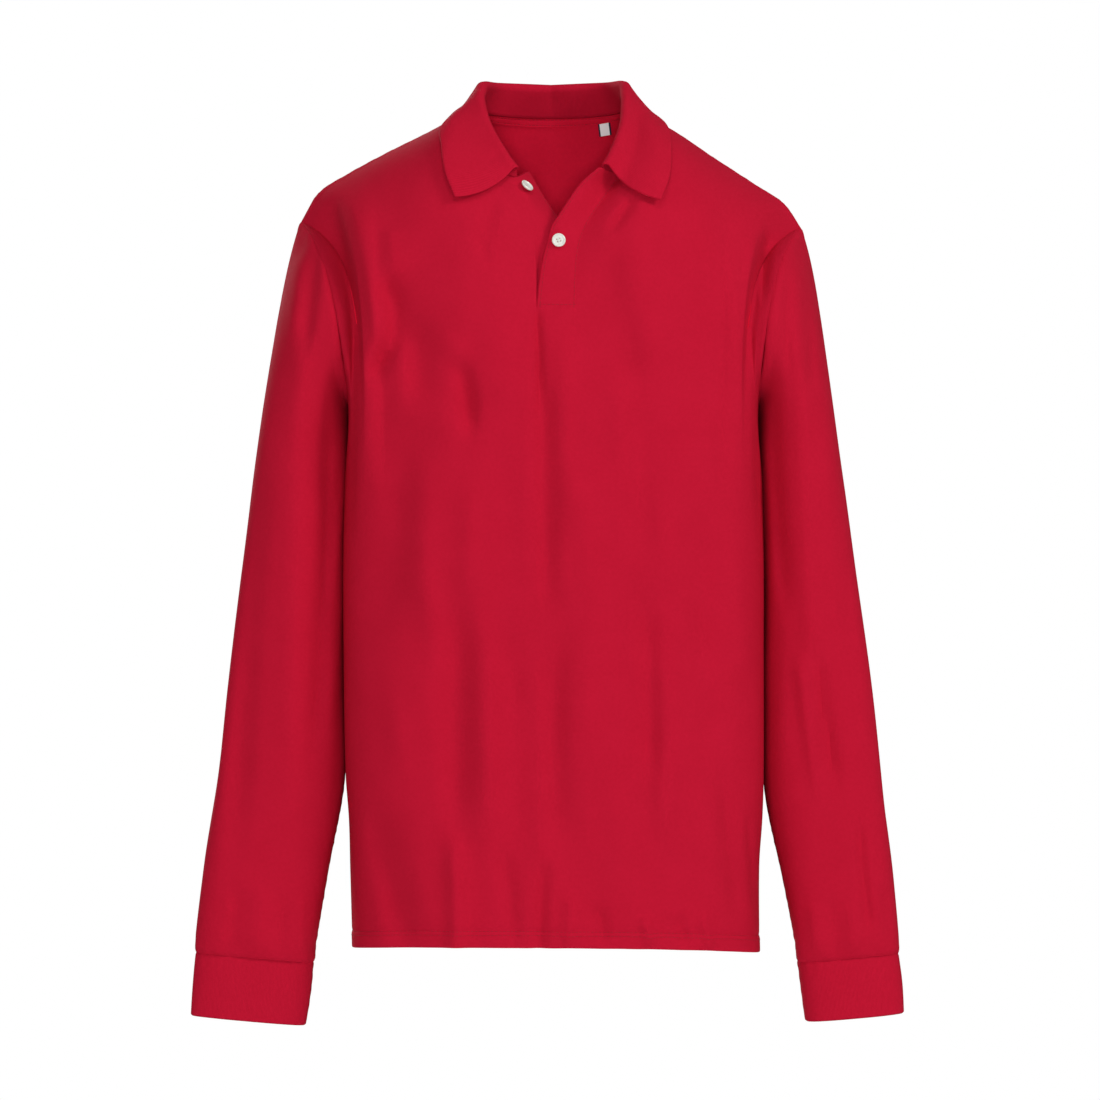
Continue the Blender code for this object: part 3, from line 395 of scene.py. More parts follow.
def body_form(face, side, step, rise):
    """The torso without folds. Rise runs from 0 at the hem to 1 at the chest line and 2 at the upper edge."""
    step, rise = np.broadcast_arrays(np.asarray(step, float), np.asarray(rise, float))
    turn = column_turn(face, side, step)
    middle = HEM_RISE[face] * np.cos(turn * math.pi / 2)
    level = mix(HEM_HEIGHT[RIGHT], HEM_HEIGHT[LEFT], 0.5 + 0.5 * side * np.sin(turn * math.pi / 2))
    lower = torso_ring(mix(level + middle, CHEST_LINE, np.minimum(rise, 1.0)), face, side, turn)
    chest = torso_ring(np.full_like(turn, CHEST_LINE), face, side, turn)
    below = torso_ring(np.full_like(turn, CHEST_LINE - CHEST_SLOPE_STEP), face, side, turn)
    point, lead = top_edge(face, side, step)
    length = np.linalg.norm(point - chest, axis=-1, keepdims=True)
    up = unit(chest - below) * length * CHEST_LEAD
    up[..., 1] += face * length[..., 0] * CHEST_SWELL * np.sin(math.pi * np.maximum(2 * turn - 1, 0.0))
    upper = bezier(chest, chest + up, point + lead * length, point, np.clip(rise - 1, 0, 1))
    return np.where((rise <= 1)[..., None], lower, upper)


# %% Where the slit starts
def slot_rise():
    """The rise at which the front's middle reaches the bottom of the placket."""
    low, high = 1.0, 2.0
    for _ in range(SLOT_SEARCH_ROUNDS):
        middle = (low + high) / 2
        if body_form(FRONT, LEFT, 0, middle)[2] < PLACKET_BOTTOM:
            low = middle
        else:
            high = middle
    return low


SLOT_RISE = slot_rise()
print("the placket starts at rise", round(SLOT_RISE, 3))

# %% [markdown]
# ## The open neck
#
# The placket is the slit at the front, finished by two strips. Its upper button is open, so the two sides
# fall apart and the collar opens into a V. A table says where each strip's seam and free edge go.

# %% The open neck
SEAM_OPENING = {
    RIGHT: table(
        "share   x       y       z",
        (0.00, -0.0125, 0.0000, 0.0000),
        (0.40, -0.0135, 0.0005, 0.0000),
        (0.70, -0.0170, 0.0010, 0.0000),
        (0.85, -0.0225, 0.0010, -0.0020),
        (1.00, -0.0310, 0.0010, -0.0040),
    ),
    LEFT: table(
        "share   x       y       z",
        (0.00, 0.0205, 0.0000, 0.0000),
        (0.40, 0.0235, 0.0000, 0.0000),
        (0.60, 0.0310, 0.0020, 0.0000),
        (0.80, 0.0450, 0.0060, 0.0000),
        (1.00, 0.0600, 0.0120, 0.0000),
    ),
}
EDGE_OPENING = {
    RIGHT: table(
        "share   x       y       z",
        (0.00, 0.0175, 0.0026, 0.0000),
        (0.35, 0.0145, 0.0045, 0.0000),
        (0.55, 0.0095, 0.0100, 0.0000),
        (0.65, 0.0058, 0.0140, 0.0000),
        (0.79, -0.0049, 0.0190, 0.0010),
        (0.89, -0.0117, 0.0205, 0.0020),
        (1.00, -0.0183, 0.0215, 0.0020),
    ),
    LEFT: table(
        "share   x       y       z",
        (0.00, -0.0115, -0.0006, 0.0000),
        (0.18, -0.0092, -0.0010, 0.0000),
        (0.33, -0.0066, -0.0014, 0.0000),
        (0.47, -0.0025, -0.0020, 0.0000),
        (0.58, 0.0010, -0.0026, 0.0000),
        (0.66, 0.0068, -0.0034, 0.0000),
        (0.78, 0.0155, -0.0045, 0.0000),
        (0.90, 0.0255, -0.0060, 0.0005),
        (1.00, 0.0400, -0.0080, 0.0020),
    ),
}


def opening_shift(side, step, rise):
    """How far the open neck moves a front point: all of it at the placket's seam, none at the neck point."""
    share = np.clip((rise - SLOT_RISE) / (2 - SLOT_RISE), 0, 1)
    hold = 1 - np.sin(np.clip(step / NECK_STEPS, 0, 1) * math.pi / 2)
    x, y, z = (read(SEAM_OPENING[side], axis, share) for axis in "xyz")
    return vec(x - side * closed_seam(side), y, z) * np.asarray(hold)[..., None]


print("the left seam opens by", round(SEAM_OPENING[LEFT]["x"][-1] / MM - closed_seam(LEFT) / MM, 1), "mm")

# %% [markdown]
# ## Folds
#
# Cloth that hangs from the shoulders falls in long soft troughs, and it drags into short creases where the
# arm meets the chest. Each fold is one row of a table: a curve through three places as the camera sees them,
# how far it fades to its left and to its right, and how far the cloth moves out (or in, if negative), all in
# millimetres. The folds of the front and the sleeves are placed where the picture shows them. The back gets
# similar ones, whose places are its own x and z.

# %% Folds of the front
FRONT_CREASES = table(
    "top_x   top_z   mid_x   mid_z   low_x   low_z  left  right  depth",
    (-13, -168, -11, -199, -9, -263, 2.5, 4.2, -3.8),
    (-8, -212, -5, -314, -3, -467, 8.7, 11.0, -5.5),
    (13, -161, 13, -263, 20, -382, 14.8, 17.3, 4.1),
    (-39, -152, -38, -203, -33, -263, 19.7, 19.7, 4.7),
    (-187, -72, -177, -114, -167, -186, 11.9, 3.4, -8.0),
    (-175, -59, -156, -133, -145, -220, 7.4, 17.3, 6.8),
    (-169, -161, -169, -246, -172, -382, 9.9, 4.9, -6.2),
    (-152, -186, -157, -246, -162, -305, 9.9, 14.8, 3.6),
    (-144, -136, -133, -168, -134, -201, 9.5, 10.0, -10.5),
    (-126, -184, -141, -207, -160, -234, 8.0, 7.0, -8.0),
    (-124, -174, -112, -208, -115, -254, 8.0, 8.5, -10.5),
    (-82, -186, -84, -237, -94, -288, 7.6, 7.6, 4.6),
    (-86, -203, -71, -240, -71, -280, 7.5, 6.0, -9.0),
    (-59, -288, -69, -382, -69, -467, 12.3, 17.3, 3.0),
    (-111, -246, -133, -348, -149, -492, 24.6, 19.7, -6.8),
    (-103, -271, -107, -365, -105, -450, 14.8, 17.3, 4.1),
    (-76, -382, -79, -501, -84, -645, 14.8, 12.3, -6.2),
    (-56, -425, -54, -535, -55, -653, 12.3, 12.3, 4.9),
    (-35, -425, -28, -552, -26, -662, 14.8, 12.3, -4.1),
    (1, -425, 2, -543, 4, -653, 11.0, 12.3, -4.8),
    (20, -280, 31, -416, 25, -628, 17.3, 17.3, 3.9),
    (42, -101, 60, -186, 76, -246, 22.2, 14.8, -6.2),
    (76, -186, 77, -288, 74, -416, 14.8, 14.8, -3.9),
    (94, -263, 94, -348, 96, -416, 12.3, 12.3, 2.5),
    (77, -391, 84, -492, 84, -577, 11.0, 11.0, -5.5),
    (94, -442, 96, -535, 94, -645, 9.9, 11.0, 4.1),
    (127, -323, 132, -450, 127, -594, 14.8, 14.8, -4.1),
    (159, -263, 162, -382, 162, -501, 12.3, 12.3, 2.8),
    (145, -544, 152, -628, 161, -696, 6.8, 8.5, -3.5),
    (167, -593, 171, -645, 178, -708, 3.4, 4.2, -4.1),
    (125, -118, 130, -195, 123, -288, 22.2, 17.3, -4.8),
    (152, -101, 155, -161, 157, -229, 14.8, 9.9, 2.8),
    (-82, -80, -94, -101, -107, -128, 6.8, 6.8, -2.9),
    (-137, -97, -135, -118, -130, -152, 6.8, 6.8, 2.6),
    (-43, -69, -52, -93, -56, -118, 6.8, 6.8, -2.9),
    (-64, -101, -57, -118, -54, -128, 3.4, 3.4, -2.6),
    (71, -72, 59, -86, 45, -106, 6.0, 6.0, -3.5),
    (99, -80, 118, -105, 127, -128, 6.8, 6.8, -2.6),
    (80, -80, 93, -110, 96, -144, 8.5, 8.5, -2.3),
    (185, -99, 181, -128, 180, -169, 2.5, 6.0, -5.8),
    (174, -101, 171, -144, 171, -203, 6.8, 3.4, 3.5),
    (179, -161, 175, -263, 179, -382, 3.4, 5.1, -4.3),
    (-152, -586, -137, -654, -113, -730, 13.6, 15.3, -7.2),
    (-84, -603, -81, -671, -82, -738, 7.6, 7.6, 5.2),
    (-43, -612, -35, -671, -26, -730, 7.6, 7.6, -3.5),
    (-5, -629, -9, -679, -11, -740, 6.8, 6.8, -4.9),
    (16, -662, 16, -688, 14, -715, 6.8, 6.8, 3.8),
    (38, -671, 42, -692, 45, -713, 6.8, 6.8, -3.5),
    (76, -683, 82, -696, 84, -713, 5.1, 5.1, 4.3),
    (105, -683, 110, -696, 113, -713, 5.1, 5.1, -2.9),
    (125, -683, 132, -696, 135, -715, 5.1, 5.1, 3.2),
)
print("folds of the front:", len(FRONT_CREASES["depth"]))

# %% Folds of the back and the sleeves
BACK_CREASES = table(
    "top_x   top_z   mid_x   mid_z   low_x   low_z  left  right  depth",
    (-95, -300, -92, -500, -85, -700, 25.0, 16.0, -5.5),
    (-20, -340, -26, -520, -25, -700, 14.4, 22.5, -4.5),
    (52, -310, 44, -500, 46, -700, 25.0, 16.0, -5.5),
    (112, -360, 116, -540, 110, -700, 12.8, 20.0, -4.5),
    (-125, -120, -122, -190, -105, -260, 16.2, 10.4, -4.0),
    (125, -125, 124, -195, 105, -265, 10.4, 16.2, -4.0),
    (-148, -170, -140, -215, -118, -255, 10.0, 6.4, -3.0),
    (150, -175, 140, -220, 120, -262, 6.4, 10.0, -3.0),
    (-60, -60, -40, -120, -36, -200, 17.5, 11.2, -1.6),
    (64, -62, 46, -120, 40, -205, 11.2, 17.5, -1.6),
    (-60, -400, -58, -500, -62, -610, 11.2, 7.2, 1.8),
    (14, -360, 10, -480, 16, -600, 8.0, 12.5, 1.6),
    (84, -420, 82, -520, 88, -640, 11.2, 7.2, 1.6),
    (-140, -300, -146, -420, -140, -560, 8.0, 12.5, -2.0),
    (146, -310, 150, -420, 146, -560, 12.5, 8.0, -2.0),
    (-120, -640, -118, -680, -118, -725, 7.2, 11.2, 1.6),
    (-55, -650, -52, -690, -54, -725, 11.2, 7.2, 1.6),
    (20, -640, 22, -680, 20, -725, 7.2, 11.2, 1.8),
    (78, -650, 80, -690, 82, -725, 11.2, 7.2, 1.4),
)
SLEEVE_CREASES = {
    RIGHT: table(
        "top_x   top_z   mid_x   mid_z   low_x   low_z  left  right  depth",
        (-213, -135, -216, -314, -227, -671, 13.6, 11.9, 4.9),
        (-186, -186, -192, -382, -205, -586, 7.6, 10.2, -6.5),
        (-246, -246, -258, -450, -273, -671, 11.9, 11.9, -5.8),
        (-198, -99, -203, -152, -212, -220, 7.6, 5.1, -5.1),
        (-213, -110, -217, -152, -222, -203, 5.1, 5.1, 2.9),
        (-210, -80, -213, -105, -215, -135, 6.8, 6.0, -4.3),
        (-195, -76, -198, -88, -200, -110, 4.2, 4.2, 2.3),
        (-266, -654, -269, -688, -273, -726, 6.8, 6.8, -2.0),
        (-246, -654, -249, -683, -252, -726, 6.8, 6.8, 2.0),
        (-227, -662, -229, -688, -230, -726, 6.8, 6.8, -2.0),
        (-211, -666, -212, -692, -213, -726, 5.1, 5.1, 1.7),
    ),
    LEFT: table(
        "top_x   top_z   mid_x   mid_z   low_x   low_z  left  right  depth",
        (209, -161, 217, -348, 227, -577, 10.2, 10.2, 4.3),
        (188, -195, 191, -314, 203, -450, 7.6, 7.6, -5.8),
        (222, -441, 232, -513, 244, -590, 5.1, 6.0, -4.6),
        (208, -450, 217, -518, 229, -603, 5.1, 5.1, 2.9),
        (261, -586, 266, -654, 272, -700, 4.2, 4.2, -3.5),
        (244, -263, 251, -382, 259, -518, 10.2, 10.2, -3.8),
        (203, -128, 201, -178, 203, -229, 4.2, 4.2, -2.6),
        (217, -125, 220, -186, 222, -246, 5.1, 5.1, -2.9),
        (222, -671, 223, -692, 225, -722, 6.0, 6.0, 1.7),
        (239, -662, 241, -692, 242, -726, 6.8, 6.8, -2.0),
        (252, -671, 256, -692, 258, -722, 5.1, 5.1, 2.0),
        (283, -654, 286, -683, 286, -717, 6.0, 6.0, -2.0),
    ),
}
# Troughs round the sleeves' hidden sides, by the angle from the outer side round the front, in degrees.
SLEEVE_TROUGHS = {
    RIGHT: table(
        "angle   lean   top_z    low_z   width   depth",
        (235.0, 6.0, -0.200, -0.560, 18.0, -4.5),
        (300.0, -8.0, -0.240, -0.660, 16.0, -4.0),
        (262.0, 22.0, -0.360, -0.520, 12.0, -2.4),
        (330.0, 12.0, -0.470, -0.690, 11.0, -1.8),
        (215.0, -14.0, -0.430, -0.640, 12.0, -2.0),
        (4.0, 14.0, -0.300, -0.640, 15.0, -2.4),
        (342.0, -20.0, -0.180, -0.420, 13.0, -2.6),
    ),
    LEFT: table(
        "angle   lean   top_z    low_z   width   depth",
        (238.0, 6.0, -0.200, -0.560, 18.0, -4.5),
        (305.0, -8.0, -0.260, -0.660, 16.0, -4.0),
        (268.0, 20.0, -0.350, -0.510, 12.0, -2.4),
        (332.0, 12.0, -0.480, -0.690, 11.0, -1.8),
        (214.0, -14.0, -0.420, -0.630, 12.0, -2.0),
        (2.0, 14.0, -0.320, -0.650, 15.0, -2.4),
        (340.0, -20.0, -0.190, -0.430, 13.0, -2.6),
    ),
}

print("folds of the back:", len(BACK_CREASES["depth"]))

# %% How a fold moves the cloth
FOLD_PIECES = 14  # straight pieces in a fold's curve
FOLD_REACH = 2.6  # widths past its curve, where a fold is no longer felt
FOLD_FADE = 0.28  # the share of a fold over which each of its ends fades
WAVES, WAVE_LENGTHS, WAVE_LEAN, WAVE_HEIGHT = 26, (22, 90), 0.28, 1.6


def seen(points):
    """Where the camera sees points, on the plane through the origin, in millimetres."""
    nearer = VIEW_DISTANCE / (VIEW_DISTANCE + points[..., 1])
    x = VIEW_CENTRE.x + (points[..., 0] - VIEW_CENTRE.x) * nearer
    z = VIEW_CENTRE.z + (points[..., 2] - VIEW_CENTRE.z) * nearer
    return x / MM, z / MM


def one_fold(x, z, top, middle, low, widths):
    """A fold's strength, 1 along its curve and fading to its left, to its right and towards both ends."""
    strength = np.zeros(x.shape)
    reach = FOLD_REACH * max(widths)
    xs, zs = (top[0], middle[0], low[0]), (top[1], middle[1], low[1])
    near = (x > min(xs) - reach) & (x < max(xs) + reach) & (z > min(zs) - reach) & (z < max(zs) + reach)
    if not near.any():
        return strength
    t = np.linspace(0, 1, FOLD_PIECES + 1)[:, None]
    control = 2 * np.array(middle) - 0.5 * (np.array(top) + np.array(low))
    path = np.array(top) * (1 - t) ** 2 + control * 2 * t * (1 - t) + np.array(low) * t * t
    spot = np.stack([x[near], z[near]], -1)[:, None]
    start, run = path[None, :-1], np.diff(path, axis=0)[None]
    along = np.clip(((spot - start) * run).sum(-1) / (run * run).sum(-1), 0, 1)
    off = spot - start - run * along[..., None]
    away = np.linalg.norm(off, axis=-1)
    nearest = away.argmin(1)
    rows = np.arange(len(nearest))
    share = (nearest + along[rows, nearest]) / FOLD_PIECES
    ends = ease(share / FOLD_FADE) * ease((1 - share) / FOLD_FADE)
    width = np.where(off[rows, nearest, 0] < 0, widths[0], widths[1])
    strength[near] = ends * np.exp(-((away[rows, nearest] / width) ** 2))
    return strength


def fold_depth(creases, x, z):
    total = np.zeros(x.shape)
    for tx, tz, mx, mz, lx, lz, left, right, depth in zip(*creases.values()):
        total += depth * MM * one_fold(x, z, (tx, tz), (mx, mz), (lx, lz), (left, right))
    return total


# %% A gentle unevenness
def unevenness(x, z, seed):
    """Gentle waves of many sizes, longer along the cloth than across it, between about -1 and 1."""
    dice = np.random.default_rng(seed)
    total = np.zeros(x.shape)
    for _ in range(WAVES):
        length = dice.uniform(*WAVE_LENGTHS)
        lean = dice.normal(0, WAVE_LEAN)
        phase = dice.uniform(0, 2 * math.pi)
        way = x * math.cos(lean) + z * math.sin(lean)
        total += length / WAVE_LENGTHS[1] * np.sin(way * 2 * math.pi / length + phase)
    return total / math.sqrt(WAVES) * WAVE_HEIGHT


print("waves in the unevenness:", WAVES)

# %% [markdown]
# ## Turning grids into sewn shells
#
# Every cut piece is a grid of points on its outer face. To make it cloth, we give it a wall that is as thick
# as the knit, with a rounded rim, and draw its edges back a hair from the seam, where the thread pulls the
# two pieces down. We also keep where each corner lies on the flat cloth, in millimetres, because the knit is
# drawn along that.

# %% Shells from grids
SHELL_WALL = 0.0012
DOUBLE_WALL = 0.0020
TAPE_WALL = 0.0010
CLOTH_CREASE = math.radians(35)  # a sharper edge than this shades as a crease
FLAT_MAP = "flat_cloth"

shirt = bpy.data.collections.new("long_sleeve_polo_shirt")
bpy.context.scene.collection.children.link(shirt)


def in_order(*parts):
    """All of the places once, in order."""
    return np.unique(np.concatenate(parts))


def flat_places(across, down):
    return np.stack(np.broadcast_arrays(across, down), -1) / MM


def run_from_end(points, axis):
    """The distance along the grid from its last row or column."""
    steps = np.linalg.norm(np.diff(points, axis=axis), axis=-1)
    total = np.flip(np.cumsum(np.flip(steps, axis), axis), axis)
    return np.concatenate([total, np.zeros_like(np.take(total, [0], axis))], axis)


def run_from_start(points, axis):
    return np.flip(run_from_end(np.flip(points, axis), axis), axis)


# %% Normals and joined grids
def grid_normals(points, outward):
    """Normals of a grid, turned so that they agree with a rough outward direction."""
    normals = unit(np.cross(np.gradient(points, axis=1), np.gradient(points, axis=0)))
    turned = np.sign((normals * outward).sum(-1, keepdims=True).sum())
    return normals * turned


def grid_quads(grid, start, flip):
    """The quads of a grid whose points are numbered from start, row by row."""
    rows, columns = grid.shape[:2]
    ids = start + np.arange(rows * columns).reshape(rows, columns)
    quads = np.stack([ids[:-1, :-1], ids[:-1, 1:], ids[1:, 1:], ids[1:, :-1]], -1).reshape(-1, 4)
    return quads[:, ::-1] if flip else quads


def join_grids(patches):
    """Merges grids that share an edge. Returns points, quads, and the flat place of each quad's corners."""
    points = np.concatenate([p.reshape(-1, 3) for p, _, _ in patches])
    flats = np.concatenate([f.reshape(-1, 2) for _, f, _ in patches])
    quads, start = [], 0
    for grid, _, flip in patches:
        quads.append(grid_quads(grid, start, flip))
        start += grid.shape[0] * grid.shape[1]
    quads = np.concatenate(quads)
    _, first, merged = np.unique(np.round(points, 6) + 0.0, axis=0, return_index=True, return_inverse=True)
    return points[first], merged.reshape(-1)[quads], flats[quads], flats[first]


def point_normals(points, quads):
    """Each point's normal, from all of the quads around it."""
    corners = points[quads]
    across = np.cross(corners[:, 2] - corners[:, 0], corners[:, 3] - corners[:, 1])
    total = np.zeros_like(points)
    for k in range(4):
        np.add.at(total, quads[:, k], across)
    return unit(total)


# %% Rims and meshes
def rim_of(points, quads, normals):
    """The border's directed edges, and for each point the direction back from the border."""
    edges = np.concatenate([quads[:, [k, (k + 1) % 4]] for k in range(4)])
    count = len(points)
    alone = ~np.isin(edges[:, 0] * count + edges[:, 1], edges[:, 1] * count + edges[:, 0])
    border = edges[alone]
    along = points[border[:, 1]] - points[border[:, 0]]
    back = np.zeros_like(points)
    for k in range(2):
        np.add.at(back, border[:, k], unit(np.cross(normals[border[:, k]], along)))
    return border, unit(back) * (np.linalg.norm(back, axis=-1, keepdims=True) > 0)


def link_mesh(name, points, faces, flats, material, soft=True):
    """Makes the mesh. Where the rim isn't soft, the face shades flat right up to the seam."""
    mesh = bpy.data.meshes.new(name)
    mesh.from_pydata(points.tolist(), [], faces.tolist())
    mesh.uv_layers.new(name=FLAT_MAP).data.foreach_set("uv", flats.reshape(-1))
    mesh.update()
    mesh.shade_smooth()
    if not soft:
        mesh.set_sharp_from_angle(angle=CLOTH_CREASE)
    mesh.materials.append(material)
    obj = bpy.data.objects.new(name, mesh)
    shirt.objects.link(obj)
    return obj


def make_shell(name, patches, wall, material, inside=None, bulge=0.35, soft=False):
    """A closed cloth wall from grids of its outer face. Its inner face may have its own material."""
    outer, quads, corner_flats, point_flats = join_grids(patches)
    normals = point_normals(outer, quads)
    border, back = rim_of(outer, quads, normals)
    inner = outer - normals * wall
    middle = (outer + inner) / 2 - back * bulge * wall
    count = len(outer)
    a, b = border[:, 0], border[:, 1]
    rims = [
        np.stack([b, a, a + count, b + count], -1),
        np.stack([b + count, a + count, a + 2 * count, b + 2 * count], -1),
    ]
    faces = np.concatenate([quads, quads[:, ::-1] + 2 * count, *rims])
    rim_flats = [point_flats[rim % count] for rim in rims]
    flats = np.concatenate([corner_flats, corner_flats[:, ::-1], *rim_flats])
    used = np.zeros(3 * count, bool)
    used[faces.reshape(-1)] = True
    renumber = np.cumsum(used) - 1
    points = np.concatenate([outer, middle, inner])[used]
    obj = link_mesh(name, points, renumber[faces], flats, material, soft)
    if inside:
        obj.data.materials.append(inside)
        slots = np.zeros(len(faces), np.int32)
        slots[len(quads) : 2 * len(quads)] = 1
        obj.data.polygons.foreach_set("material_index", slots)
    print(name, len(faces) * 2, "triangles")
    return obj


# %% [markdown]
# ## Knit effects as node groups
#
# Pique is a knit with small staggered pits, like a honeycomb with a pitch of about a millimetre. The collar
# and cuffs are a finer rib knit. Both are drawn from where the point lies on the flat cloth, so that they
# follow every fold. Because several materials use them, each is a shader node group with its own sockets.


# %% Helpers for nodes
def new_group(name, inputs, outputs):
    group = bpy.data.node_groups.new(name, "ShaderNodeTree")
    for label, kind, value in inputs:
        socket = group.interface.new_socket(label, in_out="INPUT", socket_type=kind)
        if value is not None:
            socket.default_value = value
    for label, kind in outputs:
        group.interface.new_socket(label, in_out="OUTPUT", socket_type=kind)
    return group, group.nodes.new("NodeGroupInput"), group.nodes.new("NodeGroupOutput")


def math_node(tree, operation, a, b=None, c=None):
    node = tree.nodes.new("ShaderNodeMath")
    node.operation = operation
    for socket, value in zip(node.inputs, (a, b, c)):
        if value is None:
            continue
        if isinstance(value, (int, float)):
            socket.default_value = value
        else:
            tree.links.new(value, socket)
    return node.outputs[0]


def noise_node(tree, vector, scale, detail=2.0):
    node = tree.nodes.new("ShaderNodeTexNoise")
    node.inputs["Scale"].default_value = scale
    node.inputs["Detail"].default_value = detail
    tree.links.new(vector, node.inputs["Vector"])
    return node.outputs["Fac"]


print("node helpers are ready")

# %% The knits
FUZZ_DETAIL = 3.0
KNIT_FUZZ, KNIT_MIDDLE = 0.8, 0.3  # how much the fuzz shows in the relief, and the relief's middle height
LOOP_SLANT, LOOP_RATE, LOOP_RELIEF = 1.6, 1.25, 0.35


def knit_group(name, pitch, fuzz_scale, relief, draw):
    """A knit's relief with fuzz on it. Height is high on the yarn and low in a pit."""
    group, start, end = new_group(
        name,
        (("Place", "NodeSocketVector", None), ("Pitch", "NodeSocketFloat", pitch)),
        (("Height", "NodeSocketFloat"), ("Fuzz", "NodeSocketFloat")),
    )
    split = group.nodes.new("ShaderNodeSeparateXYZ")
    group.links.new(start.outputs["Place"], split.inputs[0])
    turn = math_node(group, "DIVIDE", 2 * math.pi, start.outputs["Pitch"])
    bumps = draw(group, split.outputs["X"], split.outputs["Y"], turn)
    fuzz = noise_node(group, start.outputs["Place"], fuzz_scale, FUZZ_DETAIL)
    rough = math_node(group, "MULTIPLY_ADD", fuzz, KNIT_FUZZ, bumps)
    height = math_node(group, "MULTIPLY_ADD", rough, relief, KNIT_MIDDLE)
    group.links.new(height, end.inputs["Height"])
    group.links.new(fuzz, end.inputs["Fuzz"])
    return group


def pique_pits(group, x, y, turn):
    """Staggered pits: two cosines multiplied."""
    across = math_node(group, "COSINE", math_node(group, "MULTIPLY", x, turn))
    down = math_node(group, "COSINE", math_node(group, "MULTIPLY", y, turn))
    return math_node(group, "MULTIPLY", across, down)


def rib_loops(group, x, y, turn):
    """Fine upright ribs with the small loops of a flat knit on them."""
    ribs = math_node(group, "COSINE", math_node(group, "MULTIPLY", x, turn))
    slant = math_node(group, "MULTIPLY", math_node(group, "ABSOLUTE", ribs), LOOP_SLANT)
    loops = math_node(group, "MULTIPLY", y, math_node(group, "MULTIPLY", turn, LOOP_RATE))
    loops = math_node(group, "SINE", math_node(group, "ADD", loops, slant))
    return math_node(group, "MULTIPLY_ADD", loops, LOOP_RELIEF, ribs)


PIQUE = knit_group("pique_knit", 1.1, 1.7, 0.4, pique_pits)
RIB = knit_group("rib_knit", 1.2, 1.9, 0.33, rib_loops)
print("knit groups:", PIQUE.name, RIB.name)


# %% The dye, the painted shade in the pits, and the cloudiness
CLOUDY_SCALE, CLOUDY_DETAIL, MOTTLED_SCALE = 0.035, 3.0, 0.34
# How much each of these brightens the colour (the knit's height as painted shade in its pits, the rest as
# the dye's unevenness), and where the share between deep and bright starts.
PIT_SHADE_SHARE, MOTTLED_SHARE, FUZZ_SHARE, CLOUDY_SHARE, SHARE_START = 0.55, 0.50, 0.35, 0.30, -0.17


def blend_node(tree, share, dark, light):
    """Mixes two colours, which are sockets, by a share."""
    blend = tree.nodes.new("ShaderNodeMix")
    blend.data_type = "RGBA"
    for label, socket in (("Factor_Float", share), ("A_Color", dark), ("B_Color", light)):
        tree.links.new(socket, next(i for i in blend.inputs if i.identifier == label))
    return next(o for o in blend.outputs if o.identifier == "Result_Color")


def dye_and_pit_shade_group():
    """The colour: painted shade, darker in the pits of the knit, and a faint unevenness of the dye over the
    cloth.
    """
    group, start, end = new_group(
        "dyed_cloth_pit_shade",
        (
            ("Place", "NodeSocketVector", None),
            ("Height", "NodeSocketFloat", 0.5),
            ("Fuzz", "NodeSocketFloat", 0.5),
            ("Deep", "NodeSocketColor", (0.2, 0.0, 0.0, 1.0)),
            ("Bright", "NodeSocketColor", (0.4, 0.0, 0.0, 1.0)),
        ),
        (("Color", "NodeSocketColor"),),
    )
    cloudy = noise_node(group, start.outputs["Place"], CLOUDY_SCALE, CLOUDY_DETAIL)
    mottled = noise_node(group, start.outputs["Place"], MOTTLED_SCALE)
    # Painted shade: the knit's pits take the deep red and its yarn tops the bright red.
    share = math_node(group, "MULTIPLY_ADD", start.outputs["Height"], PIT_SHADE_SHARE, SHARE_START)
    fuzz = start.outputs["Fuzz"]
    for part, weight in ((mottled, MOTTLED_SHARE), (fuzz, FUZZ_SHARE), (cloudy, CLOUDY_SHARE)):
        share = math_node(group, "MULTIPLY_ADD", part, weight, share)
    dyed = blend_node(group, share, start.outputs["Deep"], start.outputs["Bright"])
    group.links.new(dyed, end.inputs["Color"])
    return group


def cloud_group():
    """A faint cloudiness between two tones, for moulded plastic and the floor."""
    group, start, end = new_group(
        "cloudiness",
        (
            ("Place", "NodeSocketVector", None),
            ("Scale", "NodeSocketFloat", 1.0),
            ("Detail", "NodeSocketFloat", 2.0),
            ("Dark", "NodeSocketColor", (0.8, 0.8, 0.8, 1.0)),
            ("Light", "NodeSocketColor", (0.9, 0.9, 0.9, 1.0)),
        ),
        (("Color", "NodeSocketColor"),),
    )
    noise = group.nodes.new("ShaderNodeTexNoise")
    for outer, inner in (("Place", "Vector"), ("Scale", "Scale"), ("Detail", "Detail")):
        group.links.new(start.outputs[outer], noise.inputs[inner])
    cloud = blend_node(group, noise.outputs["Fac"], start.outputs["Dark"], start.outputs["Light"])
    group.links.new(cloud, end.inputs["Color"])
    return group


DYE_AND_PIT_SHADE, CLOUD = dye_and_pit_shade_group(), cloud_group()
print("colour groups:", DYE_AND_PIT_SHADE.name, CLOUD.name)

# %% [markdown]
# ## Materials
#
# Dyed cotton is matt: nearly all of its light comes from the colour itself, with very little gloss. The reds
# differ in their knit. The pique's inner face and the tape are made lighter than its front: painted light,
# which stands in for the light that reaches into the open neck.

# %% Cloth materials
DEEP_RED = (0.425, 0.0036, 0.0195, 1.0)
BRIGHT_RED = (0.560, 0.0082, 0.0350, 1.0)
CLOTH_ROUGHNESS, CLOTH_SPECULAR, CLOTH_BUMP = 0.92, 0.06, 0.7
# Painted light: this factor lightens the inner face and the tape in place of the light inside the neck.
INSIDE_PAINTED_LIGHT = 1.6  # how much paler the knit's inner face and the tape are


def add_group(tree, group, **values):
    node = tree.nodes.new("ShaderNodeGroup")
    node.node_tree = group
    for label, value in values.items():
        if isinstance(value, bpy.types.NodeSocket):
            tree.links.new(value, node.inputs[label])
        else:
            node.inputs[label].default_value = value
    return node


def flat_place(tree):
    node = tree.nodes.new("ShaderNodeUVMap")
    node.uv_map = FLAT_MAP
    return node.outputs["UV"]


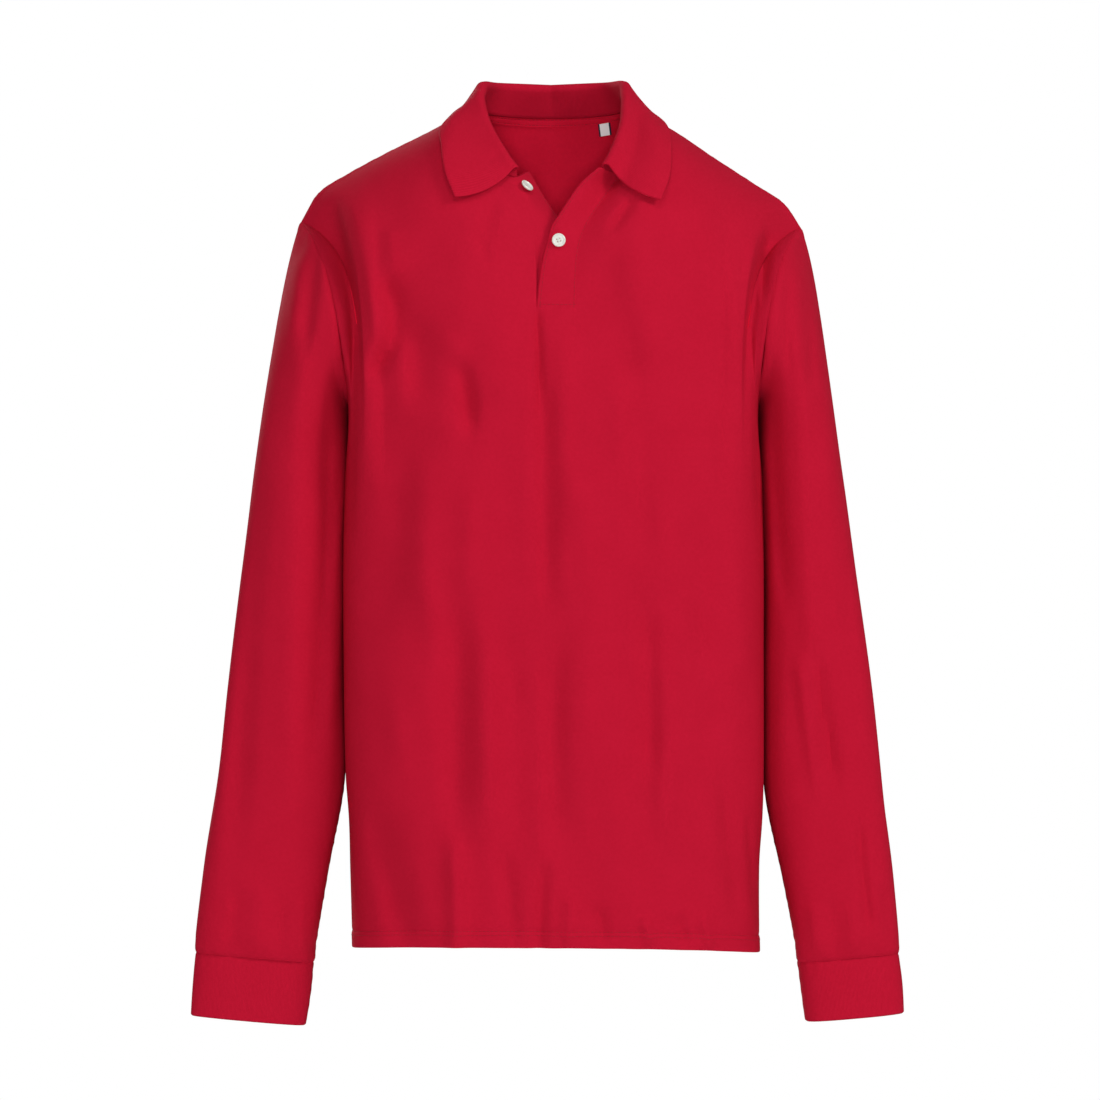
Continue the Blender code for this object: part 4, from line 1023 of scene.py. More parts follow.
def new_material(name, roughness, specular):
    """(material, its node tree, its shader)."""
    material = bpy.data.materials.new(name)
    material.use_nodes = True
    shader = material.node_tree.nodes["Principled BSDF"]
    shader.inputs["Roughness"].default_value = roughness
    shader.inputs["Specular IOR Level"].default_value = specular
    return material, material.node_tree, shader


def add_bump(tree, shader, height, distance, strength):
    bump = tree.nodes.new("ShaderNodeBump")
    bump.inputs["Distance"].default_value = distance
    bump.inputs["Strength"].default_value = strength
    tree.links.new(height, bump.inputs["Height"])
    tree.links.new(bump.outputs["Normal"], shader.inputs["Normal"])


def knit_material(name, knit, pitch, relief, paler=1.0):
    material, tree, shader = new_material(name, CLOTH_ROUGHNESS, CLOTH_SPECULAR)
    # A factor above 1 lightens both reds: painted light.
    deep, bright = ([part * paler for part in colour[:3]] + [1.0] for colour in (DEEP_RED, BRIGHT_RED))
    place = flat_place(tree)
    stitch = add_group(tree, knit, Place=place, Pitch=pitch)
    height, fuzz = stitch.outputs["Height"], stitch.outputs["Fuzz"]
    # The colour holds painted shade in the knit's pits as well as the dye.
    dye = add_group(tree, DYE_AND_PIT_SHADE, Place=place, Height=height, Fuzz=fuzz, Deep=deep, Bright=bright)
    tree.links.new(dye.outputs["Color"], shader.inputs["Base Color"])
    add_bump(tree, shader, height, relief, CLOTH_BUMP)
    return material


# %% The reds
RED_PIQUE = knit_material("red_pique", PIQUE, 1.15, 0.00022)
# Painted light: lighter copies of the red for the knit's inner face and the tape.
RED_PIQUE_INSIDE_PAINTED_LIGHT = knit_material("red_pique_inside_painted_light", PIQUE, 1.15, 0.00018, INSIDE_PAINTED_LIGHT)
RED_RIB = knit_material("red_rib_knit", RIB, 1.10, 0.00020)
RED_TAPE_PAINTED_LIGHT = knit_material("red_tape_painted_light", RIB, 0.90, 0.00012, INSIDE_PAINTED_LIGHT)
print("cloth materials:", RED_PIQUE.name, RED_PIQUE_INSIDE_PAINTED_LIGHT.name, RED_RIB.name, RED_TAPE_PAINTED_LIGHT.name)


# %% Thread, button and floor materials
THREAD_TWIST, THREAD_ROUGHNESS, THREAD_SPECULAR = 9.0, 0.6, 0.3
FINE_RELIEF = 0.00005
BUTTON_CLOUDS = {
    "Scale": 260.0,
    "Detail": 3.0,
    "Dark": (0.66, 0.66, 0.58, 1.0),
    "Light": (0.86, 0.87, 0.82, 1.0),
}
FLOOR_CLOUDS = {
    "Scale": 3.0,
    "Detail": 2.0,
    "Dark": (0.80, 0.80, 0.79, 1.0),
    "Light": (0.84, 0.84, 0.83, 1.0),
}
BUTTON_COAT = 0.25


def thread_material(name, colour):
    """Thread with its twist as fine slanting bands."""
    material, tree, shader = new_material(name, THREAD_ROUGHNESS, THREAD_SPECULAR)
    shader.inputs["Base Color"].default_value = colour
    split = tree.nodes.new("ShaderNodeSeparateXYZ")
    tree.links.new(flat_place(tree), split.inputs[0])
    twist = math_node(tree, "MULTIPLY_ADD", split.outputs["X"], THREAD_TWIST, split.outputs["Y"])
    add_bump(tree, shader, math_node(tree, "SINE", twist), FINE_RELIEF, 0.6)
    return material


def cloudy_material(name, roughness, specular, **clouds):
    """(material, shader) of a smooth material with a faint cloudiness."""
    material, tree, shader = new_material(name, roughness, specular)
    place = tree.nodes.new("ShaderNodeTexCoord").outputs["Object"]
    cloud = add_group(tree, CLOUD, Place=place, **clouds)
    tree.links.new(cloud.outputs["Color"], shader.inputs["Base Color"])
    return material, shader


RED_THREAD = thread_material("red_thread", (0.30, 0.003, 0.014, 1.0))
WHITE_THREAD = thread_material("white_thread", (0.80, 0.80, 0.76, 1.0))
WHITE_BUTTON, button_shader = cloudy_material("white_button", 0.28, 0.5, **BUTTON_CLOUDS)
button_shader.inputs["Coat Weight"].default_value = BUTTON_COAT
floor_mesh.materials.append(cloudy_material("pale_floor", 0.9, 0.2, **FLOOR_CLOUDS)[0])
print("other materials:", RED_THREAD.name, WHITE_THREAD.name, WHITE_BUTTON.name)

# %% [markdown]
# ## Front and back
#
# The two body panels are grids: columns fan out from the neckline, shoulder and armhole down to the hem, and
# extra rows and columns crowd in at the seams and the hem, where the relief is finest. The main folds move
# the cloth forward and back, as seen from the front. Then comes what sewing does to knit: a seam sinks in,
# its allowance shows as a soft ridge beside it, and the cloth puckers a little. The hem is turned up 14 mm.

# %% Rows and columns
NECK_COLUMNS, SHOULDER_COLUMNS, ARMHOLE_COLUMNS = 24, 38, 36
TORSO_ROWS, LOW_YOKE_ROWS, HIGH_YOKE_ROWS = 84, 26, 44
NEAR_SIDE = (0.03, 0.08, 0.15, 0.24, 0.38)  # steps from the side seam
NEAR_TOP = (0.002, 0.005, 0.009, 0.015, 0.024, 0.036)  # rises from the upper edge
NEAR_HEM = (0.003, 0.006, 0.010, 0.020, 0.030, 0.034, 0.037, 0.040, 0.044, 0.052)

STEPS = in_order(
    np.linspace(0, NECK_STEPS, NECK_COLUMNS + 1),
    np.linspace(NECK_STEPS, TIP_STEP, SHOULDER_COLUMNS + 1),
    np.linspace(TIP_STEP, HALF_STEPS, ARMHOLE_COLUMNS + 1),
    HALF_STEPS - np.array(NEAR_SIDE),
).round(6)
LOW_RISES = in_order(
    np.linspace(0, 1, TORSO_ROWS + 1),
    np.linspace(1, SLOT_RISE, LOW_YOKE_ROWS + 1),
    NEAR_HEM,
)
HIGH_RISES = in_order(np.linspace(SLOT_RISE, 2, HIGH_YOKE_ROWS + 1), 2 - np.array(NEAR_TOP))
RISES = np.concatenate([LOW_RISES, HIGH_RISES[1:]])
FIRST_SLOT_ROW = len(LOW_RISES) - 1
print(len(STEPS), "columns a half and", len(RISES), "rows")


# %% Folded body panels
HEM_DEPTH = 14.0  # mm
SEAM_DIP, SEAM_DIP_WIDTH = 0.0005, 0.0019
ALLOWANCE, ALLOWANCE_START, ALLOWANCE_EDGE, ALLOWANCE_SLOPE = 0.00035, 0.002, 0.006, 0.003
ALLOWANCE_END, ALLOWANCE_FADE = 11.6, 0.8  # the step where the shoulder's ends, and over how many steps
PUCKER, PUCKER_WIDTH, PUCKER_WAVES = 0.00011, 0.007, 4
PUCKER_LENGTHS, PUCKER_PHASES = (0.008, 0.017), (0, 6.3)
SIDE_SEAM_SHARE = 0.6
HEM_GROOVE, HEM_GROOVE_WIDTH = 0.00045, 0.0013
HEM_BAND, HEM_BAND_SLOPE, HEM_EDGE_SLOPE, HEM_EDGE_START = 0.00045, 0.002, 0.001, 0.4
HEM_WAVE, HEM_WAVE_WIDTH = 0.00018, 0.006
HEM_WAVE_LENGTH, HEM_WAVE_DRIFT, HEM_DRIFT_LENGTH = 3.1, 1.7, 17
UNEVEN = {FRONT: 0.0007, BACK: 0.0008}
FOLD_SIDE_FADE, FOLD_TOP_FADE, FOLD_TIP_FADE = 2.5, 0.10, 0.12
SMOOTHING_ROUNDS, SMOOTHING_WIDTH, SMOOTHING_STRENGTH = 40, 1.5, 0.5
SMOOTHING_TOP_FADE, SMOOTHING_LOWEST, SMOOTHING_LOW_FADE = 0.07, 0.9, 0.3


def fold_hold(step, rise):
    """Fades the folds out at the shoulder, neck and side seams, so that the pieces still meet there."""
    sides = ease((HALF_STEPS - step) / FOLD_SIDE_FADE)
    at_top = 1 - ease((2 - rise) / FOLD_TOP_FADE)
    over_shoulder = 1 - ease((step - TIP_STEP) / (FOLD_TIP_FADE * ARMHOLE_STEPS))
    return sides * (1 - at_top * over_shoulder)


def panel_folds(face, points):
    """How far folds and unevenness move a panel. The front's folds lie where the camera sees them."""
    if face == FRONT:
        x, z = seen(points)
        return fold_depth(FRONT_CREASES, x, z) + UNEVEN[FRONT] * unevenness(x, z, seed=11)
    x, z = points[..., 0] / MM, points[..., 2] / MM
    return fold_depth(BACK_CREASES, x, z) + UNEVEN[BACK] * unevenness(x, z, seed=23)


def body_point(face, side, step, rise):
    """The panel's outer face with its folds and the open neck, before the sewing's relief."""
    step, rise = np.broadcast_arrays(np.asarray(step, float), np.asarray(rise, float))
    point = body_form(face, side, step, rise)
    point[..., 1] += face * panel_folds(face, point) * fold_hold(step, rise)
    if face == FRONT:
        point = point + opening_shift(side, step, rise)
    return point


def smooth_below_neck(points, step, rise):
    """Smooths the panel where its columns bend, below the neck point."""
    there = np.exp(-(((step - NECK_STEPS) / SMOOTHING_WIDTH) ** 2))
    high, low = (2 - rise) / SMOOTHING_TOP_FADE, (rise - SMOOTHING_LOWEST) / SMOOTHING_LOW_FADE
    hold = (there * ease(high) * ease(low))[:, 1:-1, None]
    for _ in range(SMOOTHING_ROUNDS):
        between = (points[:, :-2] + points[:, 2:]) / 2
        points[:, 1:-1] += hold * (between - points[:, 1:-1]) * SMOOTHING_STRENGTH
    return points


print("each panel's folds fade over", FOLD_SIDE_FADE, "steps at its side")


# %% Relief of the seams and the hem
def seam_relief(distance, along, ridge, seed):
    """How a seam moves the cloth beside it: a dip, a soft ridge over the allowance, and small puckers."""
    dip = -SEAM_DIP * np.exp(-((distance / SEAM_DIP_WIDTH) ** 2))
    fall = 1 - ease((distance - ALLOWANCE_EDGE) / ALLOWANCE_SLOPE)
    raised = ridge * ALLOWANCE * ease(distance / ALLOWANCE_START) * fall
    dice = np.random.default_rng(seed)
    pucker = sum(
        np.sin(along * 2 * math.pi / dice.uniform(*PUCKER_LENGTHS) + dice.uniform(*PUCKER_PHASES))
        for _ in range(PUCKER_WAVES)
    )
    return dip + raised + PUCKER * pucker * np.exp(-((distance / PUCKER_WIDTH) ** 2))


def hem_relief(distance, x):
    """The turned-up hem: a groove along its stitches, and a band that stands off a little and waves."""
    past_line = distance - HEM_DEPTH * MM
    groove = -HEM_GROOVE * np.exp(-((past_line / HEM_GROOVE_WIDTH) ** 2))
    band = HEM_BAND * (1 - ease((past_line + HEM_BAND_SLOPE) / HEM_BAND_SLOPE))
    band = band * ease(distance / HEM_EDGE_SLOPE + HEM_EDGE_START)
    wave = np.sin(x / HEM_WAVE_LENGTH + HEM_WAVE_DRIFT * np.sin(x / HEM_DRIFT_LENGTH))
    return groove + band + HEM_WAVE * wave * np.exp(-((past_line / HEM_WAVE_WIDTH) ** 2))


print("the hem's stitches lie", HEM_DEPTH, "mm above its edge")


# %% One half of a panel
def half_panel(face, side):
    """(points, flat places) of one half of a panel, from its middle to its side seam."""
    step, rise = STEPS[None, :], RISES[:, None]
    points = smooth_below_neck(body_point(face, side, step, rise), step, rise)
    normals = grid_normals(points, vec(0.0, face, 0.0))
    on_shoulder = 1 - ease((step - ALLOWANCE_END) / ALLOWANCE_FADE)
    on_side = 1.0 if face == BACK else 0.0
    relief = seam_relief(run_from_end(points, 0), run_from_start(points, 1), on_shoulder, seed=31)
    side_seam = seam_relief(run_from_end(points, 1), points[..., 2], on_side, seed=37)
    relief = relief + SIDE_SEAM_SHARE * side_seam
    relief = relief + hem_relief(run_from_start(points, 0), points[..., 0] / MM)
    points = points + normals * relief[..., None]
    level = np.linalg.norm(np.diff(points[..., :2], axis=1), axis=-1)
    across = np.concatenate([np.zeros((len(RISES), 1)), np.cumsum(level, 1)], 1)
    start = closed_seam(side) if face == FRONT else 0.0
    return points, flat_places(side * (across + start), points[..., 2])


# %% Build the front and the back
MIDDLE_BOW = 0.0006
MIDDLE_PARTS = in_order(np.linspace(0, 1, 15), (0.02, 0.045, 0.10))


def front_middle(right, left, rises):
    """The strip between the halves, below the slit. Its edges lie right on theirs."""
    share = MIDDLE_PARTS[None, :]
    middle = mix(right, left, share[..., None])
    form_right, form_left = (body_form(FRONT, side, 0, rises)[:, None] for side in (RIGHT, LEFT))
    depth = panel_folds(FRONT, middle) * fold_hold(np.zeros(middle.shape[:2]), rises[:, None])
    depth = depth + MIDDLE_BOW * 4 * share * (1 - share)
    depth = depth + hem_relief(run_from_start(middle, 0), middle[..., 0] / MM)
    own = mix(form_right, form_left, share[..., None])[..., 1] - depth
    gap = middle[..., 1] - own
    middle[..., 1] = own + mix(gap[:, :1], gap[:, -1:], share)
    return middle


def front_patches():
    """(points, flat places, flip) of each half of the front and of the middle."""
    right, right_flat = half_panel(FRONT, RIGHT)
    left, left_flat = half_panel(FRONT, LEFT)
    low = slice(FIRST_SLOT_ROW + 1)
    middle = front_middle(right[low, :1], left[low, :1], RISES[low])
    flat = mix(right_flat[low, :1], left_flat[low, :1], MIDDLE_PARTS[None, :, None])
    return [(right, right_flat, True), (left, left_flat, False), (middle, flat, False)]


def back_patches():
    return [(*half_panel(BACK, RIGHT), False), (*half_panel(BACK, LEFT), True)]


FRONT_GRIDS, BACK_GRIDS = front_patches(), back_patches()
front = make_shell("front_shell", FRONT_GRIDS, SHELL_WALL, RED_PIQUE, RED_PIQUE_INSIDE_PAINTED_LIGHT)
back = make_shell("back_shell", BACK_GRIDS, SHELL_WALL, RED_PIQUE, RED_PIQUE_INSIDE_PAINTED_LIGHT)

# %% [markdown]
# ## Sleeves
#
# A sleeve is one cut piece closed under the arm. Its head is eased into the armhole, so it starts right on
# the panel's edge and swells out before it falls. Below that, rings tilt and narrow down to the cuff, and
# the arm's weight leaves long folds in it.

# %% Sizes of the sleeves and cuffs
SLEEVE_SEAM_HEIGHT = -0.7165
CUFF_END_HEIGHT = {RIGHT: -0.7690, LEFT: -0.7660}
SLEEVE_TILT, SLEEVE_TILT_RUN = math.radians(5.0), 0.2
CAP_OUT = 0.85
CAP_SLOPE_STEP = 0.02
TROUGH_FADE = 0.25

SLEEVE = {
    RIGHT: table(
        "height   outer   inner   front   back",
        (-0.300, 0.2503, 0.1716, 0.0700, 0.0660),
        (-0.400, 0.2639, 0.1748, 0.0650, 0.0520),
        (-0.492, 0.2754, 0.1748, 0.0600, 0.0400),
        (-0.568, 0.2839, 0.1762, 0.0540, 0.0290),
        (-0.645, 0.2938, 0.1892, 0.0490, 0.0190),
        (-0.700, 0.3004, 0.1986, 0.0460, 0.0130),
        (-0.7165, 0.3010, 0.2000, 0.0420, 0.0060),
    ),
    LEFT: table(
        "height   outer   inner   front   back",
        (-0.300, 0.2453, 0.1758, 0.0700, 0.0660),
        (-0.400, 0.2597, 0.1790, 0.0660, 0.0530),
        (-0.492, 0.2728, 0.1792, 0.0620, 0.0420),
        (-0.568, 0.2814, 0.1806, 0.0570, 0.0330),
        (-0.645, 0.2888, 0.1957, 0.0530, 0.0240),
        (-0.700, 0.2938, 0.2057, 0.0510, 0.0190),
        (-0.7165, 0.2944, 0.2076, 0.0470, 0.0130),
    ),
}
CUFF = {
    RIGHT: table(
        "share   outer   inner   front   back",
        (0.00, 0.3006, 0.2004, 0.0405, 0.0050),
        (0.50, 0.3022, 0.2032, 0.0400, 0.0030),
        (1.00, 0.3042, 0.2065, 0.0400, 0.0015),
    ),
    LEFT: table(
        "share   outer   inner   front   back",
        (0.00, 0.2936, 0.2082, 0.0460, 0.0120),
        (0.50, 0.2962, 0.2116, 0.0460, 0.0110),
        (1.00, 0.2979, 0.2141, 0.0465, 0.0100),
    ),
}
CAP_LEAD = table(
    "share   out    forward  up     start   end",
    (0.00, 0.40, 0.00, -0.90, 0.045, 0.080),
    (0.25, 0.85, 0.15, -0.45, 0.030, 0.070),
    (0.50, 0.92, 0.12, -0.25, 0.022, 0.052),
    (0.75, 0.75, 0.05, 0.30, 0.014, 0.034),
    (1.00, 0.05, 0.00, 0.90, 0.005, 0.024),
)

print("the left sleeve's widest ring is", round(float(SLEEVE[LEFT]["outer"].max()) / MM), "mm out")


# %% The sleeve's surface
def sleeve_ring(tab, side, at, angle, height, tilt):
    """A point of a sleeve's section. The angle runs from the outer side to the front and on round."""
    outer, inner = read(tab, "outer", at), read(tab, "inner", at)
    front_way, back_way = read(tab, "front", at), read(tab, "back", at)
    level, forward = np.cos(angle), np.sin(angle)
    level = np.sign(level) * np.abs(level) ** SLEEVE_ROUNDNESS
    front_part, back_part = (np.abs(forward) ** SLEEVE_DEPTH_ROUNDNESS[face] for face in (FRONT, BACK))
    forward = np.where(forward > 0, front_part, -back_part)
    across = (outer - inner) / 2 * level
    return vec(
        side * ((outer + inner) / 2 + across * np.cos(tilt)),
        (back_way - front_way) / 2 - (front_way + back_way) / 2 * forward,
        height + across * np.sin(tilt),
    )


def sleeve_tube(side, height, angle):
    tab = SLEEVE[side]
    tilt = SLEEVE_TILT * ease((tab["height"][0] - height) / SLEEVE_TILT_RUN)
    return sleeve_ring(tab, side, height, angle, height, tilt)


def cap_point(face, side, share, t, angle):
    """The sleeve's head between the armhole and its first full ring."""
    top = SLEEVE[side]["height"][0]
    start = armhole(face, side, share)
    end = sleeve_tube(side, np.full_like(share, top), angle)
    lead = vec(
        side * read(CAP_LEAD, "out", share) * CAP_OUT,
        face * read(CAP_LEAD, "forward", share),
        read(CAP_LEAD, "up", share),
    )
    down = unit(sleeve_tube(side, np.full_like(share, top - CAP_SLOPE_STEP), angle) - end)
    first = start + unit(lead) * read(CAP_LEAD, "start", share)[..., None]
    second = end - down * read(CAP_LEAD, "end", share)[..., None]
    return bezier(start, first, second, end, t)


def sleeve_troughs(side, angle, height):
    """How far the troughs round the hidden sides move the cloth outward."""
    total = np.zeros(np.broadcast(angle, height).shape)
    turned = np.degrees(angle) % 360
    for at, lean, top_z, low_z, width, depth in zip(*SLEEVE_TROUGHS[side].values()):
        along = (top_z - height) / (top_z - low_z)
        across = ((turned - at - lean * (along - 0.5) + 180) % 360 - 180) / width
        ends = ease(along / TROUGH_FADE) * ease((1 - along) / TROUGH_FADE)
        total += depth * MM * ends * np.exp(-across * across)
    return total


# %% Folded sleeves
CAP_PARTS = in_order(np.linspace(0, 1, 30), (0.008, 0.018, 0.03, 0.045))
TUBE_PARTS = in_order(np.linspace(0, 1, 120), (0.985, 0.99, 0.9945, 0.9975, 0.999))
TUBE_CROWDING = 1.25
ROUND_COLUMNS = 144
NEAR_UNDERARM = (-0.012, -0.006, 0.006, 0.012)
INNER_SIDE, INNER_FADE = 0.95, 0.4
SLEEVE_UNEVEN, UNEVEN_FADE, MM_A_DEGREE = 0.0006, 0.05, 0.8
OUTER_CREASE_FADE, INNER_CREASE_FADE = 0.12, 0.25
CUFF_SEAM_RIDGE = 0.6


def sleeve_form(side, corner, face, share):
    """The sleeve without folds, from the armhole to the cuff."""
    angle = math.pi * corner
    cap_share = np.broadcast_to(share, (len(CAP_PARTS), len(share)))
    cap = cap_point(face, side, cap_share, CAP_PARTS[:, None], angle)
    heights = SLEEVE[side]["height"]
    height = mix(heights[0], heights[-1], 1 - (1 - TUBE_PARTS[1:, None]) ** TUBE_CROWDING)
    height = np.broadcast_to(height, (len(TUBE_PARTS) - 1, len(corner)))
    return np.concatenate([cap, sleeve_tube(side, height, np.broadcast_to(angle, height.shape))])


def sleeve_outward(side, points, angle):
    """How far the troughs and the unevenness move the cloth outward."""
    height = points[..., 2]
    inner_side = ease((np.cos(angle) + INNER_SIDE) / INNER_FADE)
    troughs = sleeve_troughs(side, angle[None, :], height) * inner_side
    around = np.broadcast_to(np.degrees(angle) * MM_A_DEGREE, height.shape)
    waves = SLEEVE_UNEVEN * unevenness(around, height / MM, seed=41 + side)
    return troughs + waves * ease((height.max() - height) / UNEVEN_FADE) * np.sin(angle * 0.5) ** 2


def sleeve_forward(side, points, face, share):
    """How far the folds that the camera sees move the cloth forward."""
    x, z = seen(points)
    in_front = ease(share / OUTER_CREASE_FADE) * ease((1 - share) / INNER_CREASE_FADE) * (face == FRONT)
    return (fold_depth(SLEEVE_CREASES[side], x, z) + fold_depth(FRONT_CREASES, x, z)) * in_front


def closed_tube(side, points, around):
    """(points, flat places, flip) of a tube whose last column is its first."""
    points[:, -1] = points[:, 0]
    return points, flat_places(around, points[..., 2]), side == RIGHT


# %% Build the sleeves
def sleeve_patch(side):
    corner = in_order(np.linspace(0, 2, ROUND_COLUMNS + 1), 1 + np.array(NEAR_UNDERARM))
    angle = math.pi * corner
    face = np.where(corner <= 1, FRONT, BACK).astype(float)
    share = np.where(corner <= 1, corner, 2 - corner)
    form = sleeve_form(side, corner, face, share)
    away = vec(side * np.cos(angle), -np.sin(angle), 0.0)
    points = form + away * sleeve_outward(side, form, angle)[..., None]
    points[..., 1] -= sleeve_forward(side, form, face, share)
    normals = grid_normals(points, away)
    around = run_from_start(points, 1)
    underarm = np.abs(around - around[:, [np.argmin(np.abs(corner - 1))]])
    relief = seam_relief(run_from_start(points, 0), around, 1.0, seed=43)
    relief = relief + seam_relief(run_from_end(points, 0), around, CUFF_SEAM_RIDGE, seed=47)
    relief = relief + seam_relief(underarm, points[..., 2], 0.0, seed=53)
    return closed_tube(side, points + normals * relief[..., None], around)


SLEEVE_GRIDS = {side: sleeve_patch(side) for side in (RIGHT, LEFT)}
sleeves = {}
for side, grid in SLEEVE_GRIDS.items():
    sleeves[side] = make_shell(f"sleeve_{word(side)}_shell", [grid], SHELL_WALL, RED_PIQUE, RED_PIQUE_INSIDE_PAINTED_LIGHT)

# %% [markdown]
# ## Cuffs
#
# Each cuff is a band of rib knit, folded double, so its lower end is a rounded fold and not a raw edge.

# %% Cuffs
CUFF_PARTS = in_order(np.linspace(0, 1, 22), (0.01, 0.025, 0.04, 0.96, 0.98, 0.992))
CUFF_BULGE, CUFF_WAVE = 0.0006, 0.0006
CUFF_WAVES = ((3, 1.2, 0.5), (5, 0.4, 0.3))  # waves round the cuff, their phase, their share


def cuff_patch(side):
    angle = math.pi * np.linspace(0, 2, ROUND_COLUMNS + 1)
    share = np.broadcast_to(CUFF_PARTS[:, None], (len(CUFF_PARTS), len(angle)))
    height = mix(SLEEVE_SEAM_HEIGHT, CUFF_END_HEIGHT[side], share)
    points = sleeve_ring(CUFF[side], side, share, np.broadcast_to(angle, share.shape), height, SLEEVE_TILT)
    away = vec(side * np.cos(angle), -np.sin(angle), 0.0)
    around = run_from_start(points, 1)
    inner_seam = np.abs(around - around[:, [ROUND_COLUMNS // 2]])
    relief = seam_relief(run_from_start(points, 0), around, 0.0, seed=59)
    relief = relief + seam_relief(inner_seam, points[..., 2], 0.0, seed=61)
    relief = relief + CUFF_BULGE * np.sin(share * math.pi)
    wave = sum(np.sin(angle * count + phase) * size for count, phase, size in CUFF_WAVES)
    relief = relief + CUFF_WAVE * wave * share
    return closed_tube(side, points + away * relief[..., None], around)


cuffs = {}
for side in (RIGHT, LEFT):
    grid = cuff_patch(side)
    cuffs[side] = make_shell(f"cuff_{word(side)}_band", [grid], DOUBLE_WALL, RED_RIB, bulge=0.5, soft=True)

# %% [markdown]
# ## Placket
#
# The buttonhole strip bridges the slit and lies on top. The button strip lies behind it and shows where the
# neck falls open. Both are folded double and sewn flush to the slit's edges, so each strip leaves its seam in
# the direction that the front has there, and only its free edge can be told from the front.

# %% Placket strips
STRIP_BULGE = {RIGHT: 0.0010, LEFT: 0.0022}
STRIP_BULGE_SHARE = 0.5  # the share of a strip over which its bulge grows to its whole size
STRIP_PARTS = in_order(np.linspace(0, 1, 23), (0.015, 0.97, 0.985))
STRIP_LEAD, BESIDE_STEP = 0.6, 0.5
SLIT_GROOVE, SLIT_GROOVE_WIDTH = 0.0024, 0.0040
OVERLAP_END, OVERLAP_FADE = 0.25, 0.3
STRIP_FOOT_FADE = 0.14


def strip_grid(side, parts, rises=HIGH_RISES):
    """A strip's outer face, from its seam to its free edge."""
    share = (rises - SLOT_RISE) / (2 - SLOT_RISE)
    seam = body_point(FRONT, side, 0, rises)
    beside = body_point(FRONT, side, BESIDE_STEP, rises)
    base = body_form(FRONT, LEFT, 0, rises)
    x, y, z = (read(EDGE_OPENING[side], axis, share) for axis in "xyz")
    edge = vec(x, base[:, 1] + y, base[:, 2] + z)
    width = np.linalg.norm(edge - seam, axis=-1, keepdims=True)
    lead = unit(seam - beside) * width * STRIP_LEAD
    t = parts[None, :, None]
    grid = (
        seam[:, None] * (1 + 2 * t) * (1 - t) ** 2
        + lead[:, None] * t * (1 - t) ** 2
        + edge[:, None] * t * t * (3 - 2 * t)
        + (edge - seam)[:, None] * t * t * (t - 1)
    )
    t = t[..., 0]
    hump = t * t * (1 - t) * 27 / 4  # 1 at its highest
    grid[..., 1] -= (STRIP_BULGE[side] * ease(share / STRIP_BULGE_SHARE))[:, None] * hump
    if side == RIGHT:
        closed = (1 - ease((share - OVERLAP_END) / OVERLAP_FADE))[:, None]
        grid[..., 1] += SLIT_GROOVE * ease(t * width / SLIT_GROOVE_WIDTH) * closed
    return grid


def strip_patch(side):
    """(points, flat places, flip) of a strip. The top one's foot meets the front below the slit."""
    points = strip_grid(side, STRIP_PARTS)
    if side == LEFT:
        low = FRONT_GRIDS[2][0][-1]
        share = ((HIGH_RISES - SLOT_RISE) / (2 - SLOT_RISE))[:, None]
        level = np.interp(points[0, :, 0], low[:, 0], low[:, 1])
        points[..., 1] += (level - points[0, :, 1])[None, :] * (1 - ease(share / STRIP_FOOT_FADE))
    return points, flat_places(run_from_start(points, 1), points[..., 2]), side == LEFT


STRIP_GRIDS = {side: strip_patch(side) for side in (RIGHT, LEFT)}
placket_top = make_shell("placket_top_strip", [STRIP_GRIDS[LEFT]], DOUBLE_WALL, RED_PIQUE, bulge=0.5)
placket_under = make_shell("placket_under_strip", [STRIP_GRIDS[RIGHT]], DOUBLE_WALL, RED_PIQUE, bulge=0.5)

# %% [markdown]
# ## Collar
#
# A polo collar is knitted to shape, sewn to the neckline, stands up a little and rolls over. Each rib of the
# mesh runs up the stand, round the roll and down the leaf. The leaf is held a few millimetres off the body,
# so it casts the soft shadow that a real one does.

# %% Sizes of the collar
COLLAR = {
    RIGHT: table(
        "turn   roll_x   roll_y   roll_z   edge_x   edge_y   edge_z",
        (0.00, 0.0000, 0.0600, 0.0260, 0.0000, 0.0960, -0.0230),
        (0.50, 0.0425, 0.0440, 0.0262, 0.0600, 0.0700, -0.0230),
        (1.00, 0.0568, 0.0060, 0.0235, 0.0765, 0.0020, -0.0060),
        (1.15, 0.0580, -0.0065, 0.0180, 0.0850, -0.0200, -0.0145),
        (1.30, 0.0585, -0.0200, 0.0100, 0.0920, -0.0420, -0.0207),
        (1.60, 0.0520, -0.0460, -0.0150, 0.0908, -0.0660, -0.0376),
        (2.00, 0.0370, -0.0725, -0.0430, 0.0878, -0.0860, -0.0589),
        (2.35, 0.0288, -0.0795, -0.0545, 0.0797, -0.0970, -0.0804),
    ),
    LEFT: table(
        "turn   roll_x   roll_y   roll_z   edge_x   edge_y   edge_z",
        (0.00, 0.0000, 0.0600, 0.0260, 0.0000, 0.0960, -0.0230),
        (0.50, 0.0440, 0.0440, 0.0265, 0.0610, 0.0700, -0.0230),
        (1.00, 0.0610, 0.0060, 0.0240, 0.0830, 0.0020, -0.0070),
        (1.15, 0.0617, -0.0080, 0.0170, 0.0940, -0.0200, -0.0142),
        (1.30, 0.0620, -0.0220, 0.0080, 0.0990, -0.0420, -0.0247),
        (1.60, 0.0600, -0.0480, -0.0130, 0.0998, -0.0660, -0.0455),
        (2.00, 0.0520, -0.0710, -0.0370, 0.0975, -0.0850, -0.0642),
        (2.35, 0.0445, -0.0860, -0.0525, 0.0908, -0.0940, -0.0827),
    ),
}
